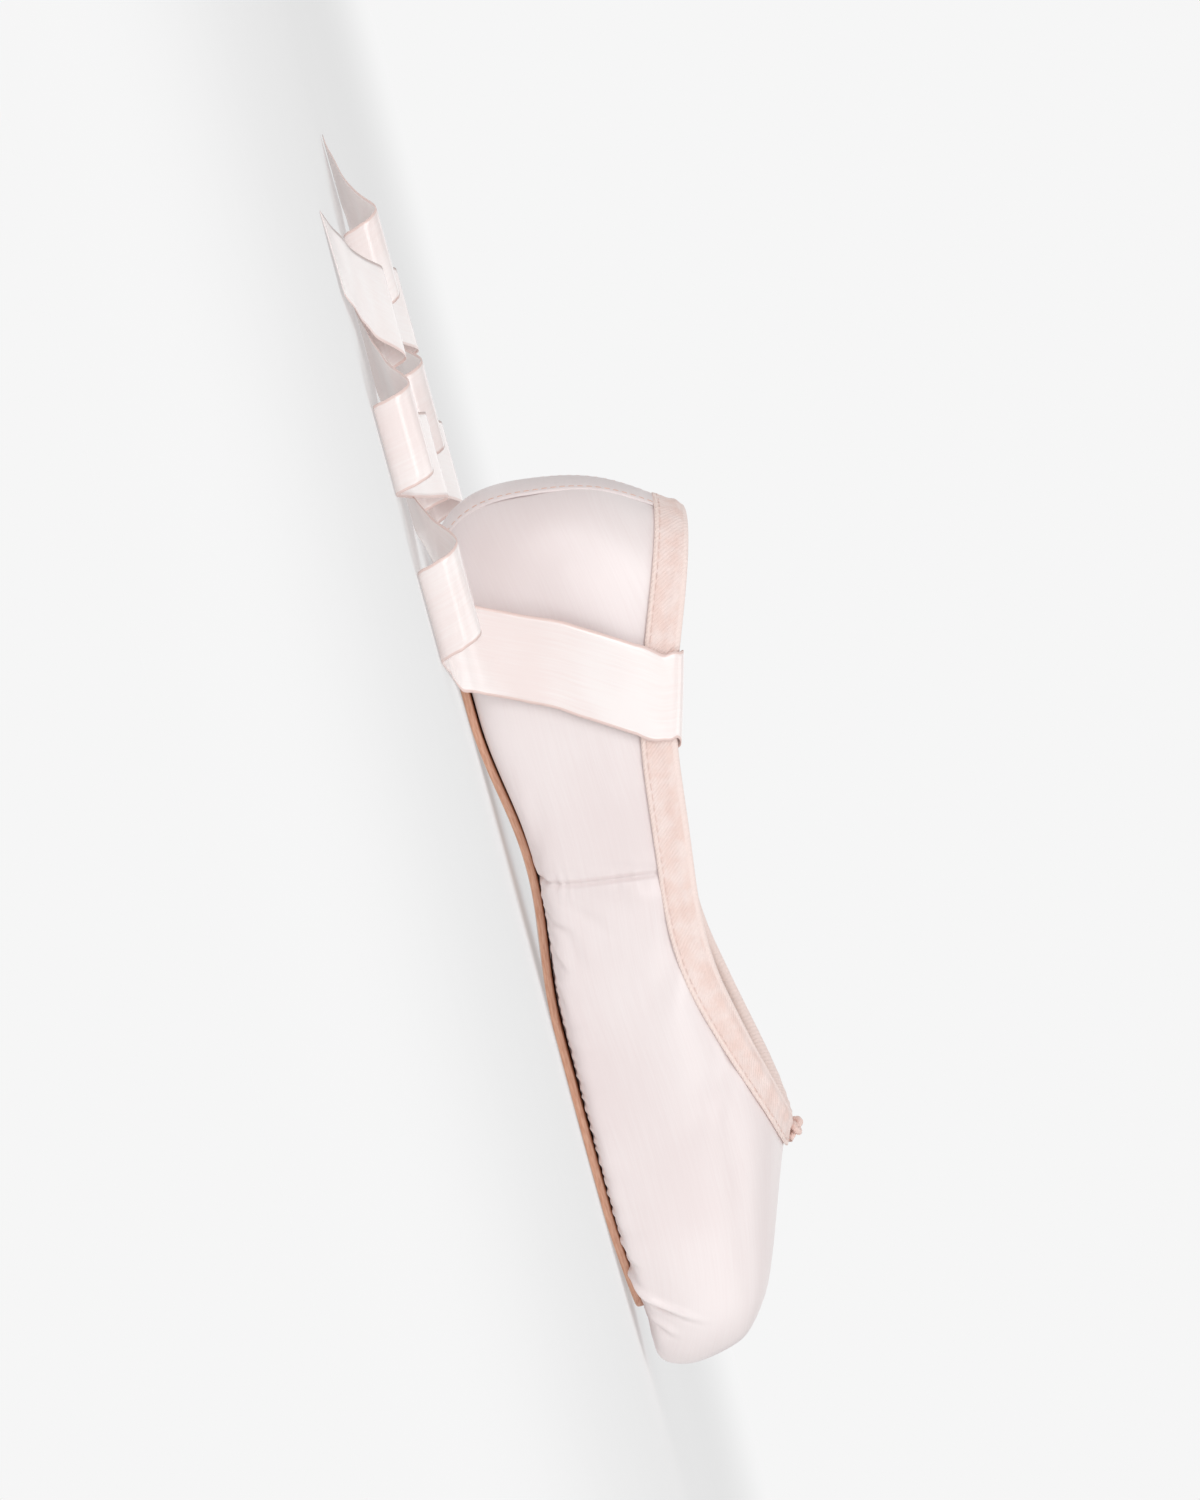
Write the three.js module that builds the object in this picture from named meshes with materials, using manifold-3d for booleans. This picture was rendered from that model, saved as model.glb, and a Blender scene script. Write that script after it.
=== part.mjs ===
// A pointe shoe: a lasted satin upper with a toe box, a leather outsole, an insole, a binding with
// its drawstring knot, and two ribbons that hang over the collar and lie on the floor.
// Millimetres, +Z up, +X towards the toe, the origin on the floor under the middle of the shoe.
// The shoe is made on a straight last, so it fits either foot. "left" is the wearer's left, +Y.

import * as THREE from 'three';
import Module from 'manifold-3d';
import { mergeVertices } from 'three/addons/utils/BufferGeometryUtils.js';

// ---------------------------------------------------------------- driving dimensions

const LENGTH = 235; // heel to platform
const BALL_WIDTH = 70; // outside, at the widest part of the forefoot
const HEEL_HEIGHT = 66; // floor to the collar at the back
const INSTEP_HEIGHT = 52; // floor to the throat of the vamp

const SOLE_THICK = 2.4;
const SOLE_LAP = 5; // how far the outsole reaches past the upper's turned-in edge
const SOLE_BEVEL = 0.5;
const ARCH_RISE = 4; // the waist of the sole above the floor
const TOE_SPRING = 1.2; // the tip of the sole above the floor
const PLEAT_DROP = 2; // how far the pleats in front of the sole hang below its top
const INSOLE_STEPS = 2; // steps of the section up the inside of the wall, to the insole's top
const INSOLE_WELL = 1; // from the turned-in edge to the insole's thick middle
const INSOLE_WELL_ENDS = 3; // the half width at which the thick middle is at its full depth

const QUARTER_WALL = 1.5; // satin, canvas and lining
const BOX_WALL = 3; // the layers of paste and burlap
const PLATFORM_WALL = 4.5;

const BINDING_WIDTH = 8.5;
const TAPE_THICK = 0.6;
const TAPE_GAP = 0.45; // between the tape and the collar, whose flat facets differ a little
const GAP = 0.3; // between two pieces that touch in the real shoe

const RIBBON_WIDTH = 22;
const RIBBON_THICK = 0.6;

// Stations along the last, as shares of LENGTH from the back of the heel.
const ARCH = { from: 0.22, to: 0.58 };
const SPRING = { from: 0.78, to: 0.93 };
const PLEATS = { from: 0.925, to: 0.985 }; // the underside of the box, in front of the sole
const BOX = { from: 0.6, to: 0.8 };
const BLOCK = { from: 0.93, to: 0.99 };

const AROUND = 88; // sections round the shoe
const UP = 12; // steps in each section, from the sole edge to the collar

// ---------------------------------------------------------------- the last
//
// Each row is a section that stands on the outline of the last, from the back of the heel round to
// the middle of the toe. A section starts at the upper's turned-in edge on the sole, swings out to
// the widest part, and ends at the collar or the throat.
//   at, wide              the widest part: share of LENGTH, share of half BALL_WIDTH
//   lean                  how far the top of the side leans back or forward, as a share of LENGTH
//   soleAt, sole          the turned-in edge on the sole
//   turn                  where the underside turns up, as a share of the way to the widest part
//   collarAt, collar      the top edge
//   rise                  the height of the top edge, as a share of HEEL_HEIGHT
//   low, high             where the side stands straight, as shares of INSTEP_HEIGHT
//   tuck, lift            how far the shoulder is from the side towards the top edge

const SECTIONS = [
  { name: 'heel back', at: -0.01, wide: 0, lean: -0.008, soleAt: 0.088, sole: 0, turn: 0.62,
    collarAt: 0.07, collar: 0, rise: 1.005, low: 0.31, high: 0.62, tuck: 0.2, lift: 0.5 },
  { name: 'heel round', at: 0.002, wide: 0.5, lean: -0.006, soleAt: 0.096, sole: 0.26, turn: 0.66,
    collarAt: 0.08, collar: 0.37, rise: 1, low: 0.3, high: 0.61, tuck: 0.2, lift: 0.5 },
  { name: 'heel side', at: 0.085, wide: 0.77, lean: 0, soleAt: 0.135, sole: 0.46, turn: 0.76,
    collarAt: 0.13, collar: 0.6, rise: 0.94, low: 0.26, high: 0.58, tuck: 0.2, lift: 0.5 },
  { name: 'quarter', at: 0.213, wide: 0.79, lean: 0, soleAt: 0.221, sole: 0.42, turn: 0.78,
    collarAt: 0.221, collar: 0.68, rise: 0.81, low: 0.24, high: 0.53, tuck: 0.24, lift: 0.5 },
  { name: 'waist back', at: 0.34, wide: 0.8, lean: 0, soleAt: 0.34, sole: 0.32, turn: 0.78,
    collarAt: 0.34, collar: 0.74, rise: 0.7, low: 0.26, high: 0.5, tuck: 0.26, lift: 0.5 },
  { name: 'waist', at: 0.455, wide: 0.84, lean: 0, soleAt: 0.455, sole: 0.31, turn: 0.78,
    collarAt: 0.455, collar: 0.78, rise: 0.65, low: 0.26, high: 0.49, tuck: 0.26, lift: 0.5 },
  { name: 'joint', at: 0.566, wide: 0.93, lean: 0, soleAt: 0.566, sole: 0.48, turn: 0.78,
    collarAt: 0.56, collar: 0.77, rise: 0.665, low: 0.2, high: 0.47, tuck: 0.22, lift: 0.55 },
  { name: 'ball', at: 0.68, wide: 1.01, lean: 0, soleAt: 0.672, sole: 0.64, turn: 0.78,
    collarAt: 0.647, collar: 0.66, rise: 0.725, low: 0.17, high: 0.46, tuck: 0.19, lift: 0.6 },
  { name: 'box back', at: 0.795, wide: 0.97, lean: 0, soleAt: 0.775, sole: 0.65, turn: 0.78,
    collarAt: 0.709, collar: 0.47, rise: 0.775, low: 0.14, high: 0.46, tuck: 0.17, lift: 0.6 },
  { name: 'box side', at: 0.905, wide: 0.79, lean: 0.004, soleAt: 0.853, sole: 0.5, turn: 0.74,
    collarAt: 0.737, collar: 0.27, rise: 0.79, low: 0.14, high: 0.48, tuck: 0.12, lift: 0.38 },
  { name: 'toe corner', at: 0.996, wide: 0.56, lean: 0.016, soleAt: 0.892, sole: 0.28, turn: 0.66,
    collarAt: 0.75, collar: 0.12, rise: 0.795, low: 0.16, high: 0.49, tuck: 0.08, lift: 0.2 },
  { name: 'toe', at: 1.006, wide: 0, lean: 0.018, soleAt: 0.903, sole: 0, turn: 0.62,
    collarAt: 0.754, collar: 0, rise: 0.795, low: 0.17, high: 0.49, tuck: 0.08, lift: 0.18 },
];

const smooth = (a, b, x) => {
  const t = Math.min(1, Math.max(0, (x - a) / (b - a)));
  return t * t * (3 - 2 * t);
};

// The height of the outsole's underside: flat under the heel and the forefoot.
function soleBottom(x) {
  const s = x / LENGTH;
  const arch = (s - ARCH.from) / (ARCH.to - ARCH.from);
  if (arch > 0 && arch < 1) return ARCH_RISE * Math.sin(Math.PI * arch) ** 2;
  return TOE_SPRING * smooth(SPRING.from, SPRING.to, s);
}

// The height of the upper's underside, on which the heights of a section stand.
function featherHeight(x) {
  return soleBottom(x) + SOLE_THICK + GAP - PLEAT_DROP * smooth(PLEATS.from, PLEATS.to, x / LENGTH);
}

function wall(x) {
  const s = x / LENGTH;
  return QUARTER_WALL + (BOX_WALL - QUARTER_WALL) * smooth(BOX.from, BOX.to, s)
    + (PLATFORM_WALL - BOX_WALL) * smooth(BLOCK.from, BLOCK.to, s);
}

// A section's control points, on the +Y side for side = 1 and on the -Y side for side = -1. Their
// heights are above the upper's underside.
function controlPoints(row, side) {
  const half = (side * BALL_WIDTH) / 2;
  const at = (x, y, z) => new THREE.Vector3(x * LENGTH, y * half, z - featherHeight(x * LENGTH));
  const mix = (a, b, t, z) => new THREE.Vector3(a.x + (b.x - a.x) * t, a.y + (b.y - a.y) * t, z);
  const edge = at(row.soleAt, row.sole, 0).setZ(0);
  const low = at(row.at, row.wide, row.low * INSTEP_HEIGHT);
  const high = at(row.at - Math.sign(row.at - 0.5) * row.lean, row.wide, row.high * INSTEP_HEIGHT);
  const top = at(row.collarAt, row.collar, row.rise * HEEL_HEIGHT);
  const feather = mix(edge, low, row.turn, 0);
  const shoulder = mix(high, top, row.tuck, high.z + (top.z - high.z) * row.lift);
  return [edge, feather, low, high, shoulder, top];
}

// A uniform cubic B-spline: closed, or clamped to its first and last points.
function spline(points, t, closed) {
  const list = closed
    ? points
    : [points[0], points[0], ...points, points.at(-1), points.at(-1)];
  const n = list.length;
  const spans = closed ? n : n - 3;
  const s = closed ? (((t % 1) + 1) % 1) * spans : Math.min(t, 1 - 1e-9) * spans;
  const i = Math.floor(s);
  const f = s - i;
  const weights = [(1 - f) ** 3, 3 * f ** 3 - 6 * f ** 2 + 4, -3 * f ** 3 + 3 * f ** 2 + 3 * f + 1, f ** 3];
  const out = new THREE.Vector3();
  const first = closed ? i - 1 + n : i;
  weights.forEach((w, k) => out.addScaledVector(list[(first + k) % n], w / 6));
  return out;
}

// Six closed rails round the shoe, one for each control point of a section, stretched so that the
// surface they carry has the length and the ball width that were asked for.
function makeRails() {
  const loop = [
    ...SECTIONS.map((row) => controlPoints(row, 1)),
    ...SECTIONS.slice(1, -1).reverse().map((row) => controlPoints(row, -1)),
  ];
  const rails = loop[0].map((_, k) => loop.map((section) => section[k]));
  const box = new THREE.Box3();
  for (let i = 0; i < 2 * AROUND; i++) {
    const section = rails.map((rail) => spline(rail, i / (2 * AROUND), true));
    for (let v = 0; v < 1; v += 0.02) box.expandByPoint(spline(section, v, false));
  }
  const size = box.getSize(new THREE.Vector3());
  for (const p of rails.flat()) {
    p.x = ((p.x - box.min.x) * LENGTH) / size.x;
    p.y *= BALL_WIDTH / size.y;
  }
  return rails;
}
const RAILS = makeRails();

// The last's outside at u round the shoe (0 is the back of the heel, a half is the toe, and the
// first half is the +Y side) and v up the section (0 is the sole edge, 1 the collar).
const sectionAt = (u) => RAILS.map((rail) => spline(rail, u, true));
function onSection(section, v) {
  const p = spline(section, v, false);
  p.z += featherHeight(p.x);
  return p;
}
const lastPoint = (u, v) => onSection(sectionAt(u), v);

function outward(u, v) {
  const d = 1e-3;
  const lower = Math.max(0, v - d);
  const upper = Math.min(1, v + d);
  const round = lastPoint(u + d, v).sub(lastPoint(u - d, v));
  const up = lastPoint(u, upper).sub(lastPoint(u, lower));
  return up.cross(round).normalize();
}

const offset = (u, v, by) => lastPoint(u, v).addScaledVector(outward(u, v), by);

// v at a distance down the section from the collar.
function downFromCollar(u, distance) {
  const section = sectionAt(u);
  const step = 2e-3;
  let v = 1;
  let length = 0;
  let here = onSection(section, v);
  while (length < distance && v > step) {
    const next = onSection(section, v - step);
    length += next.distanceTo(here);
    here = next;
    v -= step;
  }
  return v;
}

// ---------------------------------------------------------------- closed solids from rings

// Joins rings of points, each a closed loop with the same number of points, into one closed body.
// Its ends are joined to each other, capped, or pinched flat so that they close by themselves.
function loft(rings, ends) {
  const closed = ends === 'joined';
  const ringSize = rings[0].length;
  const position = rings.flat().flatMap((p) => [p.x, p.y, p.z]);
  const index = [];
  const quads = closed ? rings.length : rings.length - 1;
  for (let i = 0; i < quads; i++) {
    const here = i * ringSize;
    const there = ((i + 1) % rings.length) * ringSize;
    for (let k = 0; k < ringSize; k++) {
      const next = (k + 1) % ringSize;
      index.push(here + k, there + k, there + next, here + k, there + next, here + next);
    }
  }
  if (ends === 'capped') {
    const lastRing = (rings.length - 1) * ringSize;
    for (let k = 1; k < ringSize - 1; k++) {
      index.push(0, k, k + 1, lastRing, lastRing + k + 1, lastRing + k);
    }
  }
  const geometry = new THREE.BufferGeometry();
  geometry.setAttribute('position', new THREE.Float32BufferAttribute(position, 3));
  geometry.setIndex(facesOut(position, index) ? index : index.reverse());
  return tidied(geometry);
}

// Whether the triangles enclose a positive volume, which a ring that runs the other way does not.
function facesOut(position, index) {
  const corner = (i) => new THREE.Vector3().fromArray(position, index[i] * 3);
  let volume = 0;
  for (let i = 0; i < index.length; i += 3) {
    volume += corner(i).dot(corner(i + 1).cross(corner(i + 2)));
  }
  return volume > 0;
}

// Merges shared vertices and drops the triangles that have no area, at a pointed end.
function tidied(geometry) {
  const merged = mergeVertices(geometry, 1e-3);
  const kept = [];
  const { array } = merged.index;
  for (let i = 0; i < array.length; i += 3) {
    const [a, b, c] = array.slice(i, i + 3);
    if (a !== b && b !== c && c !== a) kept.push(a, b, c);
  }
  merged.setIndex(kept);
  merged.computeVertexNormals();
  return merged;
}

const wasm = await Module();
wasm.setup();

function solid(geometry) {
  const bare = geometry.clone();
  bare.deleteAttribute('normal');
  bare.deleteAttribute('uv');
  const merged = tidied(bare);
  merged.deleteAttribute('normal');
  return new wasm.Manifold(new wasm.Mesh({
    numProp: 3,
    vertProperties: merged.attributes.position.array,
    triVerts: new Uint32Array(merged.index.array),
  }));
}

function geometryOf(manifold) {
  const mesh = manifold.getMesh();
  const geometry = new THREE.BufferGeometry();
  geometry.setAttribute('position', new THREE.Float32BufferAttribute(mesh.vertProperties, 3));
  geometry.setIndex([...mesh.triVerts]);
  geometry.computeVertexNormals();
  return geometry;
}

// ---------------------------------------------------------------- pieces

// The upper: the last's outside and, a wall's thickness in, the inside.
function upperGeometry() {
  const rings = [];
  for (let i = 0; i < AROUND; i++) {
    const u = i / AROUND;
    const outer = [];
    const inner = [];
    for (let k = 0; k <= UP; k++) {
      const v = k / UP;
      const p = lastPoint(u, v);
      outer.push(p);
      inner.push(offset(u, v, -wall(p.x)));
    }
    rings.push([...outer, ...inner.reverse()]);
  }
  return loft(rings, 'joined');
}

// The tape folded over the collar edge, with a gap all round it.
function bindingGeometry() {
  const drops = [1, 0.66, 0.33, 0].map((share) => share * BINDING_WIDTH);
  const rising = [...drops].reverse();
  const near = TAPE_GAP;
  const far = TAPE_GAP + TAPE_THICK;
  const rings = [];
  for (let i = 0; i < AROUND; i++) {
    const u = i / AROUND;
    const thick = wall(lastPoint(u, 1).x);
    const overEdge = lastPoint(u, 1).sub(lastPoint(u, 1 - 1e-3)).normalize();
    const past = (by, height) => offset(u, 1, by).addScaledVector(overEdge, height);
    const outside = (by) => (drop) => offset(u, downFromCollar(u, drop), by);
    const inside = (by) => (drop) => {
      const v = downFromCollar(u, drop);
      return offset(u, v, -wall(lastPoint(u, v).x) - by);
    };
    rings.push([
      ...drops.map(outside(far)), past(far * 0.6, far),
      past(-thick - far * 0.6, far), ...rising.map(inside(far)),
      ...drops.map(inside(near)), past(-thick - near, near),
      past(near, near), ...rising.map(outside(near)),
    ]);
  }
  return loft(rings, 'joined');
}

// One side of the sole's outline, from heel to toe, a lap outside the upper's turned-in edge.
const ALONG = Array.from({ length: AROUND / 2 + 1 }, (_, i) => i / AROUND);
const EDGE_RAIL = RAILS[0];
const edgePoint = (u) => spline(EDGE_RAIL, u, true);

function soleOutline(u, lap) {
  const p = edgePoint(u);
  const along = edgePoint(u + 1e-3).sub(edgePoint(u - 1e-3)).normalize();
  return { x: p.x - along.y * lap, half: Math.max(0, p.y + along.x * lap) };
}

// A ring across the shoe from the points of its +Y half, listed from the top to the underside.
const acrossFrom = (half) => [...half, ...half.map(({ x, y, z }) => new THREE.Vector3(x, -y, z)).reverse()];

function outsoleGeometry() {
  const rings = ALONG.map((u) => {
    const { x, half } = soleOutline(u, SOLE_LAP);
    const bottom = soleBottom(x);
    return acrossFrom([
      new THREE.Vector3(x, half, bottom + SOLE_THICK),
      new THREE.Vector3(x, half, bottom + SOLE_BEVEL),
      new THREE.Vector3(x, Math.max(0, half - SOLE_BEVEL), bottom),
    ]);
  });
  return loft(rings, 'pinched');
}

// The insole: a board that rests on the turned-in edge and fills the well between its two sides.
function insoleGeometry() {
  const rings = ALONG.map((u) => {
    const inside = (v) => {
      const p = offset(u, v, -wall(lastPoint(u, v).x) - GAP);
      return p.setY(Math.max(0, p.y));
    };
    const foot = inside(0);
    const rim = Array.from({ length: INSOLE_STEPS + 1 }, (_, k) => inside(k / UP)).reverse();
    const well = soleOutline(u, -INSOLE_WELL);
    const deep = soleBottom(well.x) + SOLE_THICK + GAP;
    const depth = (foot.z - deep) * smooth(0, INSOLE_WELL_ENDS, well.half);
    return acrossFrom([
      ...rim,
      new THREE.Vector3(well.x, well.half, foot.z),
      new THREE.Vector3(well.x, well.half, foot.z - depth),
    ]);
  });
  return loft(rings, 'pinched');
}

// The drawstring's knot on the binding at the throat, with two short ends towards the toe.
const KNOT = { along: 2.8, across: 3.4, high: 1.8 }; // half its sizes
const KNOT_LIFT = TAPE_GAP + TAPE_THICK + KNOT.high + GAP;
const END = { radius: 0.9, length: 6, spread: 0.5 };

function knotGeometry() {
  const knot = new THREE.SphereGeometry(1, 12, 8).scale(KNOT.along, KNOT.across, KNOT.high);
  let whole = solid(knot);
  for (const side of [-1, 1]) {
    const end = new THREE.CylinderGeometry(END.radius * 0.8, END.radius, END.length, 8)
      .rotateZ(-Math.PI / 2)
      .translate(END.length / 2 + 1.5, 0, END.radius - KNOT.high)
      .rotateZ(side * END.spread);
    whole = whole.add(solid(end));
  }
  return geometryOf(whole);
}

// Puts the knot on the binding: its x runs down the vamp and its z out of it.
function placeKnot(mesh) {
  const drop = BINDING_WIDTH * 0.45;
  const v = downFromCollar(0.5, drop);
  const out = outward(0.5, v);
  const down = lastPoint(0.5, v - 0.02).sub(lastPoint(0.5, v + 0.02)).normalize();
  const across = out.clone().cross(down);
  mesh.matrixAutoUpdate = false;
  mesh.matrix.makeBasis(down, across, out);
  mesh.matrix.setPosition(offset(0.5, v, KNOT_LIFT));
}

// ---------------------------------------------------------------- ribbons
//
// A ribbon is sewn inside the quarter, slants up and over the binding, slants down the outside and
// hangs to the floor. It lies behind the heel, folded flat to and fro.

const RIBBON_AT = 0.147; // where it crosses the collar, round the shoe on the +Y side
const RIBBON_SLANT = 0.5; // how far it runs back for each millimetre that it runs down
const RIBBON_CLEAR = 0.7; // from a piece that it lies on to its middle
const RIBBON_CHORD = 1.2; // more of it where the shoe curves towards the ribbon's straight edges
const ROUND_LENGTH = 660; // of the side of the shoe for a whole turn of u
const RIBBON_BEND = 7; // the radius where it meets the floor
const RIBBON_LIFT = 0.9; // its middle above the floor where it lies flat

// Its rows on the shoe: how far it has run from the collar's edge, from the sewn end inside.
const RIBBON_INSIDE = [-24, -16, -9, -3];
const RIBBON_FOLD = [-70, -35, 0, 35, 70]; // degrees round the binding's edge
const RIBBON_OUTSIDE = [3, 10, 17, 24, 31];

// The rest of its route over the floor, in the shoe's own frame: it lies down in straight runs from
// corner to corner, and turns over in a soft fold of that radius at each corner but the last.
const LEFT_ROUTE = [
  { x: -108, y: 99, fold: 5 },
  { x: -137, y: 22, fold: 5.5 },
  { x: -151, y: 104, fold: 4.5 },
  { x: -177, y: 27, fold: 5 },
  { x: -196, y: 86, fold: 0 },
];
const RIGHT_ROUTE = [
  { x: -111, y: -103, fold: 5.5 },
  { x: -133, y: -25, fold: 5 },
  { x: -152, y: -98, fold: 5 },
  { x: -169, y: -20, fold: 4.5 },
  { x: -199, y: -84, fold: 0 },
];
const FOLD_TURN = [0, 45, 90, 135, 180]; // degrees round a fold
const FOLD_SINK = [0.5, 0.2]; // its top run's height, a third and two thirds of the way to the floor

// The part that lies on the shoe. Each row has the middle's place, and the line across the ribbon
// there, which runs round the shoe and so is parallel to the fold over the collar.
function ribbonOnShoe(side) {
  const at = (run) => RIBBON_AT - (run * RIBBON_SLANT) / ROUND_LENGTH;
  const round = (run) => (side > 0 ? at(run) : 1 - at(run));
  const clear = TAPE_GAP + TAPE_THICK + RIBBON_CLEAR;
  const thick = wall(lastPoint(round(0), 1).x);
  const across = (run, v) => lastPoint(round(run + 2), v).sub(lastPoint(round(run - 2), v)).normalize();
  const beside = (by) => (run) => {
    const v = downFromCollar(round(run), Math.abs(run));
    return { point: offset(round(run), v, by), across: across(run, v) };
  };
  const over = RIBBON_FOLD.map((degrees) => {
    const lean = THREE.MathUtils.degToRad(degrees);
    const run = Math.sin(lean) * (thick / 2 + clear + RIBBON_CHORD / 2);
    const height = Math.cos(lean) * (clear + RIBBON_CHORD);
    const upwards = lastPoint(round(0), 1).sub(lastPoint(round(0), 0.99)).normalize();
    const point = offset(round(run), 1, run - thick / 2).addScaledVector(upwards, height);
    return { point, across: across(run, 1) };
  });
  return [
    ...RIBBON_INSIDE.map(beside(-thick - clear - RIBBON_CHORD)),
    ...over,
    ...RIBBON_OUTSIDE.map(beside(clear + RIBBON_CHORD / 2)),
  ];
}

// From the widest part of the quarter it hangs free, and bends outwards onto the floor.
function ribbonToFloor(side, from) {
  const low = RIBBON_LIFT + RIBBON_BEND;
  const drop = from.z - low;
  const row = (run, out, z) => ({
    point: new THREE.Vector3(from.x - run * RIBBON_SLANT, from.y + side * out, z),
    across: new THREE.Vector3(-1, 0, 0),
  });
  const bend = [10, 50, 90].map((degrees) => {
    const turn = THREE.MathUtils.degToRad(degrees);
    const out = RIBBON_BEND * (1 - Math.cos(turn));
    return row(drop + turn * RIBBON_BEND, out, low - RIBBON_BEND * Math.sin(turn));
  });
  return [row(drop / 2, 0, low + drop / 2), ...bend];
}

const inLast = (row) => ({ ...row, x: row.x + LENGTH / 2 });

// Each run is straight. A fold wraps the ribbon half round a level line, which halves the angle
// between the runs that it joins, so the ribbon comes back over itself and sinks to the floor.
function ribbonOverFloor(from, route) {
  const corners = [from, ...route].map(({ x, y }) => new THREE.Vector3(x, y, 0));
  const rows = [];
  let above = 0;
  let left = from;
  for (let i = 1; i < corners.length; i++) {
    const along = corners[i].clone().sub(corners[i - 1]).normalize();
    const square = new THREE.Vector3(-along.y, along.x, 0);
    const radius = route[i - 1].fold;
    const next = radius ? corners[i + 1].clone().sub(corners[i]).normalize() : along;
    const crease = along.clone().add(next).normalize();
    const outward = along.clone().projectOnPlane(crease).normalize();
    const advance = radius ? along.dot(crease) / along.dot(outward) : 0;
    const turned = (degrees) => {
      const turn = THREE.MathUtils.degToRad(degrees);
      const point = corners[i].clone().addScaledVector(crease, advance * radius * (turn - Math.PI / 2));
      point.addScaledVector(outward, radius * (Math.sin(turn) - 1));
      return point.setZ(RIBBON_LIFT + radius * (1 - Math.cos(turn)));
    };
    const end = radius ? turned(0) : corners[i].clone();
    FOLD_SINK.forEach((sink, k) => {
      const point = new THREE.Vector3().lerpVectors(left, end, (k + 1) / 3);
      rows.push({ point: point.setZ(RIBBON_LIFT + above * sink), across: square });
    });
    if (!radius) rows.push({ point: end.setZ(RIBBON_LIFT), across: square });
    else FOLD_TURN.forEach((degrees) => rows.push({ point: turned(degrees), across: crease }));
    left = rows.at(-1).point;
    above = 2 * radius;
  }
  return rows;
}

function ribbonGeometry(side, route) {
  const onShoe = ribbonOnShoe(side);
  const placed = [...onShoe, ...ribbonToFloor(side, onShoe.at(-1).point)];
  const rows = [...placed, ...ribbonOverFloor(placed.at(-1).point, route.map(inLast))];
  const middle = new THREE.CatmullRomCurve3(rows.map((row) => row.point), false, 'centripetal');
  const lines = [rows[0].across];
  for (const row of rows.slice(1)) {
    lines.push(row.across.clone().multiplyScalar(row.across.dot(lines.at(-1)) < 0 ? -1 : 1));
  }
  const across = new THREE.CatmullRomCurve3(lines, false, 'centripetal');
  const lastRow = rows.length - 1;
  const rings = [];
  for (let i = 0; i <= lastRow * 2; i++) {
    const t = i / (lastRow * 2);
    const p = middle.getPoint(t);
    const along = middle.getTangent(t);
    const wide = across.getPoint(t).normalize();
    const square = wide.clone().cross(along).length();
    const face = wide.clone().cross(along).setLength(RIBBON_THICK / 2);
    wide.setLength(RIBBON_WIDTH / 2 / square);
    const corner = (a, b) => p.clone().addScaledVector(wide, a).addScaledVector(face, b);
    rings.push([corner(-1, -1), corner(1, -1), corner(1, 1), corner(-1, 1)]);
  }
  return loft(rings, 'capped');
}

// ---------------------------------------------------------------- the shoe

const finish = (color, roughness) => new THREE.MeshStandardMaterial({ color, roughness, metalness: 0 });
const SATIN = finish('#f0e2e1', 0.38);
const COTTON_TAPE = finish('#f1d3c8', 0.8);
const SUEDE = finish('#dcc6bc', 0.85);
const LINING = finish('#ead9cc', 0.85);
const RIBBON_SATIN = finish('#f4e2de', 0.32);

const shoe = new THREE.Group();

function piece(name, geometry, material) {
  const mesh = new THREE.Mesh(geometry, material);
  mesh.name = name;
  shoe.add(mesh);
  return mesh;
}

piece('upper', upperGeometry(), SATIN);
piece('outsole', outsoleGeometry(), SUEDE);
piece('insole', insoleGeometry(), LINING);
piece('binding', bindingGeometry(), COTTON_TAPE);
placeKnot(piece('drawstring_knot', knotGeometry(), COTTON_TAPE));
piece('ribbon_left', ribbonGeometry(1, LEFT_ROUTE), RIBBON_SATIN);
piece('ribbon_right', ribbonGeometry(-1, RIGHT_ROUTE), RIBBON_SATIN);

shoe.position.x = -LENGTH / 2;

export default shoe;
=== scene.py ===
"""A pointe shoe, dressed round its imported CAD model: satin upper, bound collar, leather sole, ribbons.

The last's own coordinates are millimetres: x from the back of the heel, y to the wearer's left, z up
from the floor. Blender's are metres with x = 0 under the middle of the shoe.
"""

import math
import random

import bmesh
import bpy
import numpy as np
from mathutils import Matrix, Vector


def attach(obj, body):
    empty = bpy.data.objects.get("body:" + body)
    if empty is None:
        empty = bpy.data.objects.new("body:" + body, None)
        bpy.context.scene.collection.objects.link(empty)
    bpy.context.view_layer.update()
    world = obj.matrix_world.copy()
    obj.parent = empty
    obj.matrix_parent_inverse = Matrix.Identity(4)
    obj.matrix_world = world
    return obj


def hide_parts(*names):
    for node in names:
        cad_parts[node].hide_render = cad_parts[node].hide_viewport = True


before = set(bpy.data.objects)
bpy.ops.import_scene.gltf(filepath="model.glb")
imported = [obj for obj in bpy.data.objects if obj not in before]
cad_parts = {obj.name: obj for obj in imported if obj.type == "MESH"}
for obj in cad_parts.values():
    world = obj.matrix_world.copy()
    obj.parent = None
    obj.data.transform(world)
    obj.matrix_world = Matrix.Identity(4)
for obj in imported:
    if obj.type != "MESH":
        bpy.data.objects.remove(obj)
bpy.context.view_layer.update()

# ---- sizes, as in the CAD model

LENGTH = 235.0
BALL_WIDTH = 70.0
HEEL_HEIGHT = 66.0
INSTEP_HEIGHT = 52.0

SOLE_THICK = 2.4
SOLE_LAP = 5.0
ARCH_RISE = 4.0
TOE_SPRING = 1.2
PLEAT_DROP = 2.0
GAP = 0.3

QUARTER_WALL = 1.5
BOX_WALL = 3.0
PLATFORM_WALL = 4.5

BINDING_WIDTH = 8.5
TAPE_THICK = 0.6
TAPE_GAP = 0.45
RIBBON_WIDTH = 22.0

ARCH = (0.22, 0.58)
SPRING = (0.78, 0.93)
PLEATS = (0.925, 0.985)
BOX = (0.6, 0.8)
BLOCK = (0.93, 0.99)

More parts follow.
